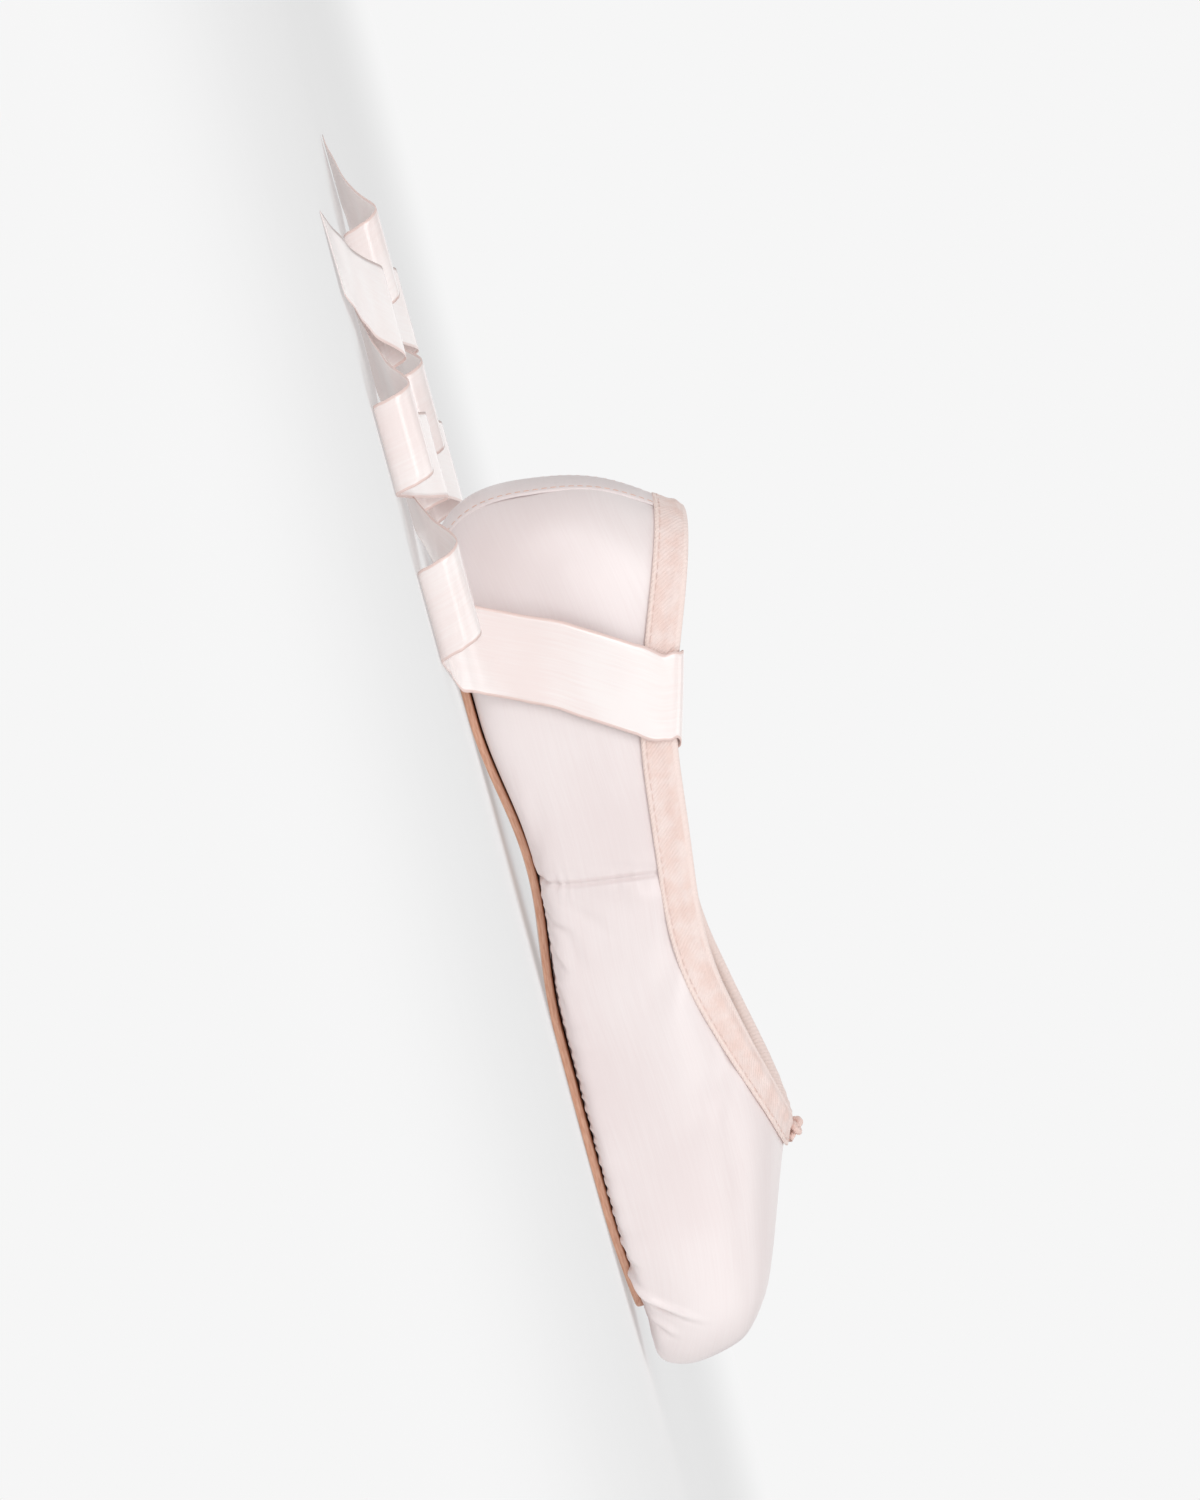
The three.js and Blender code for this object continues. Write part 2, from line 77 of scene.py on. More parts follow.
# The last's sections, from the back of the heel to the toe, in the CAD model's own columns.
COLUMNS = "at wide lean sole_at sole turn collar_at collar rise low high tuck lift".split()
SECTIONS = [
    (-0.01, 0, -0.008, 0.088, 0, 0.62, 0.07, 0, 1.005, 0.31, 0.62, 0.2, 0.5),
    (0.002, 0.5, -0.006, 0.096, 0.26, 0.66, 0.08, 0.37, 1, 0.3, 0.61, 0.2, 0.5),
    (0.085, 0.77, 0, 0.135, 0.46, 0.76, 0.13, 0.6, 0.94, 0.26, 0.58, 0.2, 0.5),
    (0.213, 0.79, 0, 0.221, 0.42, 0.78, 0.221, 0.68, 0.81, 0.24, 0.53, 0.24, 0.5),
    (0.34, 0.8, 0, 0.34, 0.32, 0.78, 0.34, 0.74, 0.7, 0.26, 0.5, 0.26, 0.5),
    (0.455, 0.84, 0, 0.455, 0.31, 0.78, 0.455, 0.78, 0.65, 0.26, 0.49, 0.26, 0.5),
    (0.566, 0.93, 0, 0.566, 0.48, 0.78, 0.56, 0.77, 0.665, 0.2, 0.47, 0.22, 0.55),
    (0.68, 1.01, 0, 0.672, 0.64, 0.78, 0.647, 0.66, 0.725, 0.17, 0.46, 0.19, 0.6),
    (0.795, 0.97, 0, 0.775, 0.65, 0.78, 0.709, 0.47, 0.775, 0.14, 0.46, 0.17, 0.6),
    (0.905, 0.79, 0.004, 0.853, 0.5, 0.74, 0.737, 0.27, 0.79, 0.14, 0.48, 0.12, 0.38),
    (0.996, 0.56, 0.016, 0.892, 0.28, 0.66, 0.75, 0.12, 0.795, 0.16, 0.49, 0.08, 0.2),
    (1.006, 0, 0.018, 0.903, 0, 0.62, 0.754, 0, 0.795, 0.17, 0.49, 0.08, 0.18),
]


# ---- the last's surface


def smooth(a, b, x):
    t = np.clip((np.asarray(x, float) - a) / (b - a), 0, 1)
    return t * t * (3 - 2 * t)


def bell(x, width):
    """1 at nought, and fading to nothing over about two widths each way."""
    return np.exp(-((x / width) ** 2))


def distances(points, closed=False):
    """How far along a line each of its points is, and the whole way round where it is closed."""
    line = np.concatenate([points, points[:1]]) if closed else points
    return np.concatenate([[0], np.cumsum(np.linalg.norm(np.diff(line, axis=0), axis=1))])


def sole_bottom(x):
    s = np.asarray(x, float) / LENGTH
    arch = np.clip((s - ARCH[0]) / (ARCH[1] - ARCH[0]), 0, 1)
    return ARCH_RISE * np.sin(np.pi * arch) ** 2 + TOE_SPRING * smooth(*SPRING, s)


def feather_height(x):
    s = np.asarray(x, float) / LENGTH
    return sole_bottom(x) + SOLE_THICK + GAP - PLEAT_DROP * smooth(*PLEATS, s)


def wall(x):
    s = np.asarray(x, float) / LENGTH
    box = (BOX_WALL - QUARTER_WALL) * smooth(*BOX, s)
    return QUARTER_WALL + box + (PLATFORM_WALL - BOX_WALL) * smooth(*BLOCK, s)


def control_points(row, side):
    r = dict(zip(COLUMNS, row))
    half = side * BALL_WIDTH / 2

    def at(x, y, z):
        return np.array([x * LENGTH, y * half, z - float(feather_height(x * LENGTH))])

    edge = at(r["sole_at"], r["sole"], 0)
    edge[2] = 0
    low = at(r["at"], r["wide"], r["low"] * INSTEP_HEIGHT)
    lean = math.copysign(r["lean"], r["at"] - 0.5)
    high = at(r["at"] - lean, r["wide"], r["high"] * INSTEP_HEIGHT)
    top = at(r["collar_at"], r["collar"], r["rise"] * HEEL_HEIGHT)
    feather = edge + (low - edge) * r["turn"]
    feather[2] = 0
    shoulder = high + (top - high) * np.array([r["tuck"], r["tuck"], r["lift"]])
    return [edge, feather, low, high, shoulder, top]


def spline_weights(f):
    return np.stack(
        [(1 - f) ** 3, 3 * f**3 - 6 * f**2 + 4, -3 * f**3 + 3 * f**2 + 3 * f + 1, f**3], -1
    ) / 6


def around(rails, u):
    """The rails' points at each u: an array of shape (len(u), rails, 3)."""
    n = rails.shape[1]
    s = (np.asarray(u, float) % 1) * n
    i = np.floor(s).astype(int)
    picked = rails[:, (i[:, None] + np.arange(-1, 3)) % n]
    return np.einsum("nk,rnkc->nrc", spline_weights(s - i), picked)


def upward(section, v):
    """Points at v up each section, along a cubic B-spline clamped to its ends."""
    clamped = np.concatenate([section[:, :1]] * 2 + [section] + [section[:, -1:]] * 2, 1)
    s = np.clip(v, 0, 1 - 1e-9) * (clamped.shape[1] - 3)
    i = np.floor(s).astype(int)
    picked = clamped[np.arange(len(s))[:, None], i[:, None] + np.arange(4)]
    return np.einsum("nk,nkc->nc", spline_weights(s - i), picked)


def make_rails():
    loop = [control_points(row, 1) for row in SECTIONS]
    loop += [control_points(row, -1) for row in SECTIONS[-2:0:-1]]
    rails = np.array(loop).transpose(1, 0, 2)
    u, v = np.meshgrid(np.linspace(0, 1, 176, endpoint=False), np.arange(0, 1, 0.02), indexing="ij")
    points = upward(around(rails, u.ravel()), v.ravel())
    low, high = points.min(0), points.max(0)
    rails[..., 0] = (rails[..., 0] - low[0]) * LENGTH / (high[0] - low[0])
    rails[..., 1] *= BALL_WIDTH / (high[1] - low[1])
    return rails


RAILS = make_rails()


def last(u, v):
    """Points of the last's outside. u runs round it, 0 at the back of the heel and a half at the
    toe, the wearer's left first; v runs up it, 0 at the sole edge and 1 at the collar."""
    u, v = np.broadcast_arrays(np.asarray(u, float), np.asarray(v, float))
    points = upward(around(RAILS, u.ravel()), v.ravel())
    points[:, 2] += feather_height(points[:, 0])
    return points.reshape(u.shape + (3,))


def unit(vectors):
    return vectors / np.maximum(np.linalg.norm(vectors, axis=-1, keepdims=True), 1e-12)


def outward(u, v):
    d = 1e-3
    round_it = last(u + d, v) - last(u - d, v)
    up = last(u, np.minimum(1, v + d)) - last(u, np.maximum(0, v - d))
    return unit(np.cross(up, round_it))


def offset(u, v, by):
    return last(u, v) + outward(u, v) * np.asarray(by)[..., None]


def edge_rail(u):
    """The upper's turned-in edge, above the sole."""
    return around(RAILS[:1], u)[:, 0]


DROP_U = np.linspace(0, 1, 441)
DROP_V = np.linspace(1, 0, 301)


def drop_table():
    """How far down each section a v is from the collar, for the sections of DROP_U."""
    points = last(DROP_U[:, None], DROP_V[None, :])
    steps = np.linalg.norm(np.diff(points, axis=1), axis=-1)
    return np.concatenate([np.zeros((len(DROP_U), 1)), np.cumsum(steps, 1)], 1)


DROPS = drop_table()


def down(u, distance):
    """The v at a distance down the section from the collar."""
    u, distance = np.broadcast_arrays(np.asarray(u, float) % 1, np.asarray(distance, float))
    flat_u, flat_d = u.ravel(), distance.ravel()
    place = flat_u * (len(DROP_U) - 1)
    i = np.minimum(place.astype(int), len(DROP_U) - 2)
    f = place - i
    out = np.empty(len(flat_u))
    for k in range(len(flat_u)):
        row = DROPS[i[k]] * (1 - f[k]) + DROPS[i[k] + 1] * f[k]
        out[k] = np.interp(flat_d[k], row, DROP_V)
    return out.reshape(u.shape)


# ---- meshes


def to_frame(points):
    """Last millimetres to the row frame's metres."""
    return (np.asarray(points, float) - np.array([LENGTH / 2, 0, 0])) / 1000


def mesh_object(name, points, faces, materials, slots=None, uv=None):
    """An object from points in last millimetres, quads and triangles, and one UV per corner."""
    mesh = bpy.data.meshes.new(name)
    mesh.from_pydata(to_frame(points).tolist(), [], faces)
    for material in materials:
        mesh.materials.append(material)
    if slots is not None:
        mesh.polygons.foreach_set("material_index", slots)
    if uv is not None:
        layer = mesh.uv_layers.new(name="millimetres")
        layer.data.foreach_set("uv", np.asarray(uv, float).ravel())
    mesh.polygons.foreach_set("use_smooth", [True] * len(mesh.polygons))
    mesh.update()
    obj = bpy.data.objects.new(name, mesh)
    bpy.context.scene.collection.objects.link(obj)
    return obj


def grid(points, wrap_rows=False, wrap_columns=False, uv=None, flip=False):
    """Faces and corner UVs of a grid of points (rows, columns, 3), turned over where flip is True.
    uv has one more row or column than points where the grid wraps."""
    rows, columns = points.shape[:2]
    r = np.arange(rows if wrap_rows else rows - 1)
    c = np.arange(columns if wrap_columns else columns - 1)
    r, c = np.meshgrid(r, c, indexing="ij")
    r, c = r.ravel(), c.ravel()
    r1, c1 = (r + 1) % rows, (c + 1) % columns
    faces = np.stack([r * columns + c, r1 * columns + c, r1 * columns + c1, r * columns + c1], 1)
    corners = None
    if uv is not None:
        corners = np.stack([uv[r, c], uv[r + 1, c], uv[r + 1, c + 1], uv[r, c + 1]], 1)
        corners = (corners[:, ::-1] if flip else corners).reshape(-1, 2)
    return (faces[:, ::-1] if flip else faces).tolist(), corners


def rides(obj, slot, *nodes):
    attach(obj, "root")
    if nodes:
        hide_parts(*nodes)
    return obj


# ---- materials


def srgb(code):
    """A linear RGBA colour from a hex code."""
    values = [int(code[i : i + 2], 16) / 255 for i in (1, 3, 5)]
    return [v / 12.92 if v <= 0.04045 else ((v + 0.055) / 1.055) ** 2.4 for v in values] + [1]


def put(tree, socket, value):
    """Gives a socket a number or a colour, or links it to another's output."""
    if isinstance(value, bpy.types.NodeSocket):
        tree.links.new(value, socket)
    else:
        socket.default_value = value


def add(tree, kind, inputs, **settings):
    """A shader node with its settings and its inputs, each a number, a colour or another's output."""
    node = tree.nodes.new("ShaderNode" + kind)
    for name, value in settings.items():
        setattr(node, name, value)
    for name, value in inputs.items():
        put(tree, node.inputs[name], value)
    return node


def principled(name, **sockets):
    material = bpy.data.materials.new(name)
    material.use_nodes = True
    shader = material.node_tree.nodes["Principled BSDF"]
    for key, value in sockets.items():
        shader.inputs[key.replace("_", " ").title().replace("Ior", "IOR")].default_value = value
    return material, material.node_tree, shader


def uv_scaled(tree, scale):
    """The UV map's millimetres, scaled along and across."""
    place = add(tree, "UVMap", {}, uv_map="millimetres")
    return add(tree, "Mapping", {"Vector": place.outputs["UV"], "Scale": (*scale, 1)}).outputs["Vector"]


def noise(tree, vector, scale, detail=2.0, roughness=0.5):
    inputs = {"Vector": vector, "Scale": scale, "Detail": detail, "Roughness": roughness}
    return add(tree, "TexNoise", inputs).outputs["Fac"]


def bands(tree, vector, direction, scale, distortion=0.0):
    inputs = {"Vector": vector, "Scale": scale, "Distortion": distortion}
    settings = {"wave_type": "BANDS", "bands_direction": direction}
    return add(tree, "TexWave", inputs, **settings).outputs["Fac"]


def math_node(tree, operation, a, b=0.5):
    node = tree.nodes.new("ShaderNodeMath")
    node.operation = operation
    for socket, value in zip(node.inputs, (a, b)):
        put(tree, socket, value)
    return node.outputs[0]


def plus(tree, a, b, share):
    """a and a share of b."""
    return math_node(tree, "ADD", a, math_node(tree, "MULTIPLY", b, share))


def blend(tree, factor, a, b):
    """Colour a where factor is 0 and colour b where it is 1."""
    node = add(tree, "Mix", {}, data_type="RGBA")
    for socket, value in zip((node.inputs[0], node.inputs[6], node.inputs[7]), (factor, a, b)):
        put(tree, socket, value)
    return node.outputs[2]


def step(tree, value, low, high):
    """0 below low, 1 above high, smooth between."""
    inputs = {"Value": value, "From Min": low, "From Max": high}
    return add(tree, "MapRange", inputs, interpolation_type="SMOOTHSTEP").outputs["Result"]


def bump(tree, shader, height, strength, distance):
    """Bump of a real depth: distance is in metres."""
    node = add(tree, "Bump", {"Strength": strength, "Distance": distance, "Height": height})
    tree.links.new(node.outputs["Normal"], shader.inputs["Normal"])


def satin_material(name, pale, deep, shade_size, gloss, selvedge=0.0):
    """Satin: long floats along the warp, fine slubs across it, and slow changes of shade. A ribbon's
    selvedges, that far from its middle, are woven plain."""
    material, tree, shader = principled(
        name, roughness=gloss, specular_ior_level=0.8, anisotropic=0.5, sheen_weight=0.1,
        sheen_roughness=0.4,
    )
    cloud = noise(tree, uv_scaled(tree, (1, 1)), shade_size, 2.0)
    slubs = noise(tree, uv_scaled(tree, (0.06, 1.4)), 1.0, 3.0, 0.6)
    mixed = plus(tree, cloud, slubs, 0.35)
    colour = blend(tree, step(tree, mixed, 0.5, 0.9), deep, pale)
    floats = bands(tree, uv_scaled(tree, (1, 1)), "Y", 0.75, 0.6)
    height = plus(tree, slubs, floats, 0.25)
    if selvedge:
        across = add(tree, "SeparateXYZ", {"Vector": uv_scaled(tree, (1, 1))}).outputs["Y"]
        edge = step(tree, math_node(tree, "ABSOLUTE", across), selvedge - 0.1, selvedge + 0.1)
        colour = blend(tree, edge, colour, srgb("#f3d9d2"))
        height = plus(tree, height, edge, 2.0)
    tree.links.new(colour, shader.inputs["Base Color"])
    bump(tree, shader, height, 0.35, 0.00004)
    return material


def tape_material():
    """Cotton tape: a fine twill, a little paler along its two edges, with a painted highlight along the
    crown of its fold over the collar.
    """
    material, tree, shader = principled("cotton_tape", roughness=0.78, sheen_weight=0.2)
    place = uv_scaled(tree, (1, 1))
    across = add(tree, "SeparateXYZ", {"Vector": place}).outputs["Y"]
    cloud = noise(tree, place, 0.22, 3.0)
    colour = blend(tree, step(tree, cloud, 0.3, 0.7), srgb("#f0d5cc"), srgb("#f5e2dc"))
    edge = step(tree, across, BINDING_WIDTH - 1.1, BINDING_WIDTH - 0.6)
    colour = blend(tree, edge, colour, srgb("#f7e2da"))
    # painted highlight: paler over the crown of the fold on the collar's edge
    fold = step(tree, across, 0.9, 0.3)
    colour = blend(tree, fold, colour, srgb("#f8e4dd"))
    tree.links.new(colour, shader.inputs["Base Color"])
    twill = bands(tree, uv_scaled(tree, (1, 1)), "DIAGONAL", 0.55, 0.5)
    height = math_node(tree, "ADD", twill, noise(tree, place, 2.2, 3.0))
    bump(tree, shader, height, 0.7, 0.00012)
    return material


def thread_material(name, colour):
    material, tree, shader = principled(name, roughness=0.6, sheen_weight=0.15)
    place = add(tree, "TexCoord", {}).outputs["Object"]
    cloud = noise(tree, place, 400, 2.0)
    shade = [channel * 0.8 for channel in colour[:3]] + [1]
    tree.links.new(blend(tree, cloud, shade, colour), shader.inputs["Base Color"])
    return material


def lining_material():
    """Cotton drill over canvas."""
    material, tree, shader = principled("lining", roughness=0.85, sheen_weight=0.15)
    place = uv_scaled(tree, (1, 1))
    warp = bands(tree, place, "X", 0.42, 0.4)
    weft = bands(tree, place, "Y", 0.42, 0.4)
    weave = math_node(tree, "MULTIPLY", warp, weft)
    cloud = noise(tree, place, 0.09, 4.0)
    shade = plus(tree, cloud, weave, 0.3)
    colour = blend(tree, step(tree, shade, 0.3, 0.9), srgb("#ecdcd1"), srgb("#f8efe8"))
    tree.links.new(colour, shader.inputs["Base Color"])
    bump(tree, shader, math_node(tree, "ADD", weave, cloud), 0.6, 0.00015)
    return material


def suede_material(name, pale, deep, warm):
    """Buffed split leather: a short nap, a cloudy colour and a few warmer worn patches."""
    material, tree, shader = principled(name, roughness=0.9, sheen_weight=0.35, sheen_roughness=0.6)
    place = uv_scaled(tree, (1, 1))
    nap = noise(tree, place, 1.6, 5.0, 0.7)
    cloud = noise(tree, uv_scaled(tree, (0.6, 1)), 0.06, 4.0, 0.55)
    colour = blend(tree, step(tree, cloud, 0.35, 0.65), deep, pale)
    patch = noise(tree, uv_scaled(tree, (0.5, 1)), 0.032, 1.0)
    colour = blend(tree, step(tree, patch, 0.55, 0.72), colour, warm)
    speck = math_node(tree, "MULTIPLY", step(tree, nap, 0.55, 0.75), 0.35)
    colour = blend(tree, speck, colour, deep)
    tree.links.new(colour, shader.inputs["Base Color"])
    bump(tree, shader, nap, 0.6, 0.00025)
    return material


def edge_material():
    """The sole's cut edge, dyed brown, with painted shade darker along its top and on the sole's top face,
    where the gap under the satin lies in shadow.
    """
    material, tree, shader = principled("sole_edge", roughness=0.55)
    place = uv_scaled(tree, (1, 1))
    height = add(tree, "SeparateXYZ", {"Vector": place}).outputs["Y"]
    grain = noise(tree, uv_scaled(tree, (0.25, 2.0)), 1.0, 4.0, 0.6)
    colour = blend(tree, step(tree, grain, 0.3, 0.7), srgb("#d59c80"), srgb("#eabba0"))
    # painted shade: the top of the edge, and the sole's top face mapped to it, darkened brown where the
    # satin's shadow falls
    colour = blend(tree, step(tree, height, 1.85, 2.35), colour, srgb("#a8643f"))
    tree.links.new(colour, shader.inputs["Base Color"])
    bump(tree, shader, grain, 0.6, 0.0002)
    return material


FLOOR_COLOUR = (0.6, 0.6, 0.6, 1)
FLOOR_FLECK = (0.59, 0.59, 0.59, 1)
FLOOR_GLOW = 0.34  # brings the floor near the backdrop, seen from low down
BACKDROP = (0.922, 0.922, 0.922, 1)
AMBIENT = 0.52  # the light from all round, as a share of white


def floor_material():
    """A matt pale floor that fades into the backdrop's own brightness far from the shoe."""
    material, tree, shader = principled("floor", roughness=1.0, specular_ior_level=0.0)
    place = add(tree, "TexCoord", {}).outputs["Object"]
    far = add(tree, "VectorMath", {0: place}, operation="LENGTH").outputs["Value"]
    fine = noise(tree, place, 30, 2.0)
    tree.links.new(blend(tree, fine, FLOOR_FLECK, FLOOR_COLOUR), shader.inputs["Base Color"])
    shader.inputs["Emission Color"].default_value = BACKDROP
    shader.inputs["Emission Strength"].default_value = FLOOR_GLOW
    glow = add(tree, "Emission", {"Color": BACKDROP, "Strength": 1.0})
    mixed = add(tree, "MixShader", {"Fac": step(tree, far, 0.35, 1.1)})
    tree.links.new(shader.outputs[0], mixed.inputs[1])
    tree.links.new(glow.outputs[0], mixed.inputs[2])
    tree.links.new(mixed.outputs[0], tree.nodes["Material Output"].inputs["Surface"])
    return material


SATIN = satin_material("satin", srgb("#f2e8e7"), srgb("#ecdfde"), 0.02, 0.34)
RIBBON_SATIN = satin_material("ribbon_satin", srgb("#fcf5f3"), srgb("#f7e9e6"), 0.03, 0.2, 10.3)
TAPE = tape_material()
LINING = lining_material()
SUEDE = suede_material("suede", srgb("#dccbc3"), srgb("#cdb7ad"), srgb("#e3bfae"))
SUEDE_RIM = suede_material("suede_rim", srgb("#e6dad3"), srgb("#dac9bf"), srgb("#e6cbbd"))
SOLE_EDGE = edge_material()
PEACH_THREAD = thread_material("peach_thread", srgb("#f0cbbb"))
TAPE_THREAD = thread_material("tape_thread", srgb("#f6ddd4"))
CORD = thread_material("drawstring", srgb("#f9ddd4"))


# ---- the upper

ROUND_COUNT = 800
UP_COUNT = 104
INSIDE_COUNT = 20
RIM_COLUMN = 24  # the step up the section where the way round is measured
SEAM_SOLE = 94.0  # the side seam's place at the sole and at the collar, from the heel
SEAM_COLLAR = 104.0


def share_along(x):
    return np.asarray(x, float) / LENGTH


def round_samples(count):
    """Values of u round the shoe, closer together at the pleated toe and at the side seams."""
    u = np.linspace(0, 1, 4001)
    points = last(u, 0.3)
    x = points[:-1, 0]
    toe = 2.2 * smooth(0.78, 0.9, share_along(x))
    seam = 1.5 * bell(x - (SEAM_SOLE + SEAM_COLLAR) / 2, 9)
    steps = np.linalg.norm(np.diff(points, axis=0), axis=1) * (1 + toe + seam)
    total = np.concatenate([[0], np.cumsum(steps)])
    return np.interp(np.linspace(0, total[-1], count, endpoint=False), total, u)


U = round_samples(ROUND_COUNT)


def u_at(side, x, v):
    """The u on one side (1 left, -1 right) at which a point at v is x from the heel."""
    u = np.linspace(0, 0.5, 600)
    found = np.interp(x, last(u, v)[:, 0], u)
    return found if side > 0 else 1 - found


def on_last(side, x, v):
    return last(u_at(side, x, v), v)


# The folds and creases: the side (1 left, -1 right), a trough's depth and width in millimetres, the
# share of its depth in the soft ridge beside it, and its line of (x from the heel, v up the section).
FOLD_COLUMNS = "side depth width ridge line".split()
FOLDS = [
    # the pleats that show most, from the sole's tip up the sides of the box
    (-1, 1.5, 0.65, 1.0, [(202, 0.2), (207, 0.3), (213, 0.4), (222, 0.52)]),
    (-1, 0.7, 0.8, 0.9, [(212, 0.25), (218, 0.35), (224, 0.43)]),
    (-1, 0.35, 0.9, 0.8, [(192, 0.2), (197, 0.29), (202, 0.37)]),
    (1, 0.8, 0.8, 0.9, [(205, 0.2), (210, 0.31), (218, 0.44)]),
    (1, 0.45, 0.9, 0.8, [(213, 0.24), (219, 0.34), (225, 0.42)]),
    (1, 0.35, 0.9, 0.8, [(194, 0.2), (199, 0.29), (204, 0.38)]),
    # drag lines from the seam's foot and across the waist
    (-1, 0.5, 0.9, 0.9, [(103, 0.23), (108, 0.32), (111, 0.41)]),
    (-1, 0.5, 0.9, 0.9, [(110, 0.22), (117, 0.3), (122, 0.38)]),
    (-1, 0.4, 1.0, 0.9, [(118, 0.22), (126, 0.28), (133, 0.33)]),
    (1, 0.5, 0.9, 0.9, [(104, 0.23), (109, 0.31), (113, 0.4)]),
    (1, 0.4, 1.0, 0.9, [(113, 0.22), (121, 0.29), (127, 0.35)]),
    (-1, 0.5, 1.9, 0.7, [(100, 0.26), (110, 0.36), (124, 0.44)]),
    (-1, 0.35, 1.8, 0.6, [(99, 0.3), (106, 0.44), (116, 0.56)]),
    (-1, 0.4, 2.2, 0.6, [(93, 0.26), (82, 0.36), (66, 0.42)]),
    (1, 0.5, 1.9, 0.7, [(100, 0.26), (112, 0.36), (127, 0.42)]),
    (1, 0.4, 2.2, 0.6, [(93, 0.27), (80, 0.36), (62, 0.4)]),
    # soft hollows under the collar of the quarter and of the vamp's wings
    (-1, 0.55, 5.0, 0.5, [(24, 0.5), (40, 0.62), (66, 0.66)]),
    (1, 0.5, 5.0, 0.5, [(26, 0.52), (44, 0.62), (70, 0.64)]),
    (-1, 0.5, 3.6, 0.7, [(112, 0.82), (128, 0.66), (142, 0.5)]),
    (1, 0.5, 3.6, 0.7, [(110, 0.82), (125, 0.64), (140, 0.48)]),
    (-1, 0.35, 3.0, 0.6, [(150, 0.84), (163, 0.66), (172, 0.56)]),
    (1, 0.35, 3.0, 0.6, [(152, 0.84), (166, 0.64), (176, 0.54)]),
]

# The small pleats round the sole's tip: degrees round from the toe on the left (+) and right (-),
# then depth and width in millimetres and how far up the section they reach.
PLEAT_COLUMNS = "degrees depth width reach".split()
PLEATS_ROUND = [
    (-84, 0.3, 0.8, 0.3), (-73, 0.35, 0.8, 0.31), (-62, 0.4, 0.9, 0.33), (-51, 0.45, 0.9, 0.34),
    (-38, 0.5, 0.9, 0.36), (-27, 0.5, 0.9, 0.36), (-16, 0.55, 0.8, 0.38), (-6, 0.6, 0.8, 0.37),
    (5, 0.6, 0.8, 0.38), (16, 0.55, 0.9, 0.37), (28, 0.5, 0.9, 0.36), (40, 0.45, 0.9, 0.35),
    (53, 0.45, 0.9, 0.34), (66, 0.35, 0.8, 0.32), (80, 0.3, 0.8, 0.3),
]
PLEAT_CENTRE = 188.0  # the middle of the sole's round tip, from the heel


def fold_relief(points, normals, fold):
    """Height of one fold over a grid of surface points."""
    line = np.array([on_last(fold["side"], x, v) for x, v in fold["line"]])
    nearest = np.full(points.shape[:2], 1e9)
    signed = np.zeros(points.shape[:2])
    along = np.zeros(points.shape[:2])
    for i in range(len(line) - 1):
        a, span = line[i], line[i + 1] - line[i]
        t = np.clip((points - a) @ span / (span @ span), 0, 1)
        away = points - a - t[..., None] * span
        distance = np.linalg.norm(away, axis=-1)
        beside = np.einsum("ijk,ijk->ij", np.cross(span, away), normals)
        closer = distance < nearest
        nearest = np.where(closer, distance, nearest)
        signed = np.where(closer, np.sign(beside) * fold["side"] * distance, signed)
        along = np.where(closer, (i + t) / (len(line) - 1), along)
    width = fold["width"]
    trough = bell(nearest, width)
    ridge = bell(signed + 1.7 * width, 1.4 * width) * (nearest < 6 * width)
    ends = smooth(0, 0.15, along + 0.05) * (1 - smooth(0.6, 1, along))
    return fold["depth"] * ends * (fold["ridge"] * ridge - trough)


def pleat_relief(points, v):
    """Small folds that fan out round the tip of the sole."""
    x, y = points[..., 0] - PLEAT_CENTRE, points[..., 1]
    angle = np.degrees(np.arctan2(y, x))
    radius = np.hypot(x, y)
    relief = np.zeros(points.shape[:2])
    for row in PLEATS_ROUND:
        r = dict(zip(PLEAT_COLUMNS, row))
        beside = np.radians(angle - r["degrees"]) * radius
        fade = (1 - smooth(0.5, 1, v / r["reach"])) * smooth(-6, 4, x)
        trough = bell(beside, r["width"])
        ridge = bell(beside - 1.5 * r["width"], 1.2 * r["width"])
        relief += r["depth"] * fade * (0.75 * ridge - trough)
    return relief


def seam_relief(points, v):
    """The side seam: a fine groove, the vamp puffed beside it, and puckers near the sole."""
    d = points[..., 0] - (SEAM_SOLE + (SEAM_COLLAR - SEAM_SOLE) * v)
    groove = -1.1 * bell(d, 0.7) - 0.4 * bell(d, 2.2)
    puff = 1.15 * bell(d - 6, 4.5) * smooth(0.15, 0.4, v)
    flat = 0.3 * bell(d + 3, 2.4)
    foot = bell(v - 0.3, 0.13)
    uneven = v * 2 * np.pi / 0.058 + 2.1 * np.sin(v * 31) + 1.2 * np.sin(v * 13 + 1) + 0.5 * np.sin(d * 0.6)
    reach = 3.0 + 2.0 * np.sin(v * 47 + 1.3)
    tucks = np.sin(uneven) * bell(d, reach) * (0.6 + 0.4 * np.sin(v * 23))
    return (groove + puff + flat + tucks * (0.12 + 0.4 * foot)) * (1 - smooth(0.6, 0.84, v))


TOOTH = 2.8  # from one tuck to the next along the sole's edge


def front_of_seam(x):
    return smooth(SEAM_SOLE, SEAM_SOLE + 14, x)


def edge_relief(points, v, rim):
    """The satin puffed over the sole's edge, with gathers that run up from it."""
    front = front_of_seam(points[..., 0])
    puff = 0.6 * bell(v - 0.34, 0.045)
    gathers = np.sin(rim * 2 * np.pi / 9.5 + 1.9 * np.sin(rim * 0.13)) * bell(v - 0.33, 0.07)
    tucks = np.sin(rim * 2 * np.pi / TOOTH) * bell(v - 0.27, 0.03)
    return front * (puff + 0.22 * gathers + 0.16 * tucks)


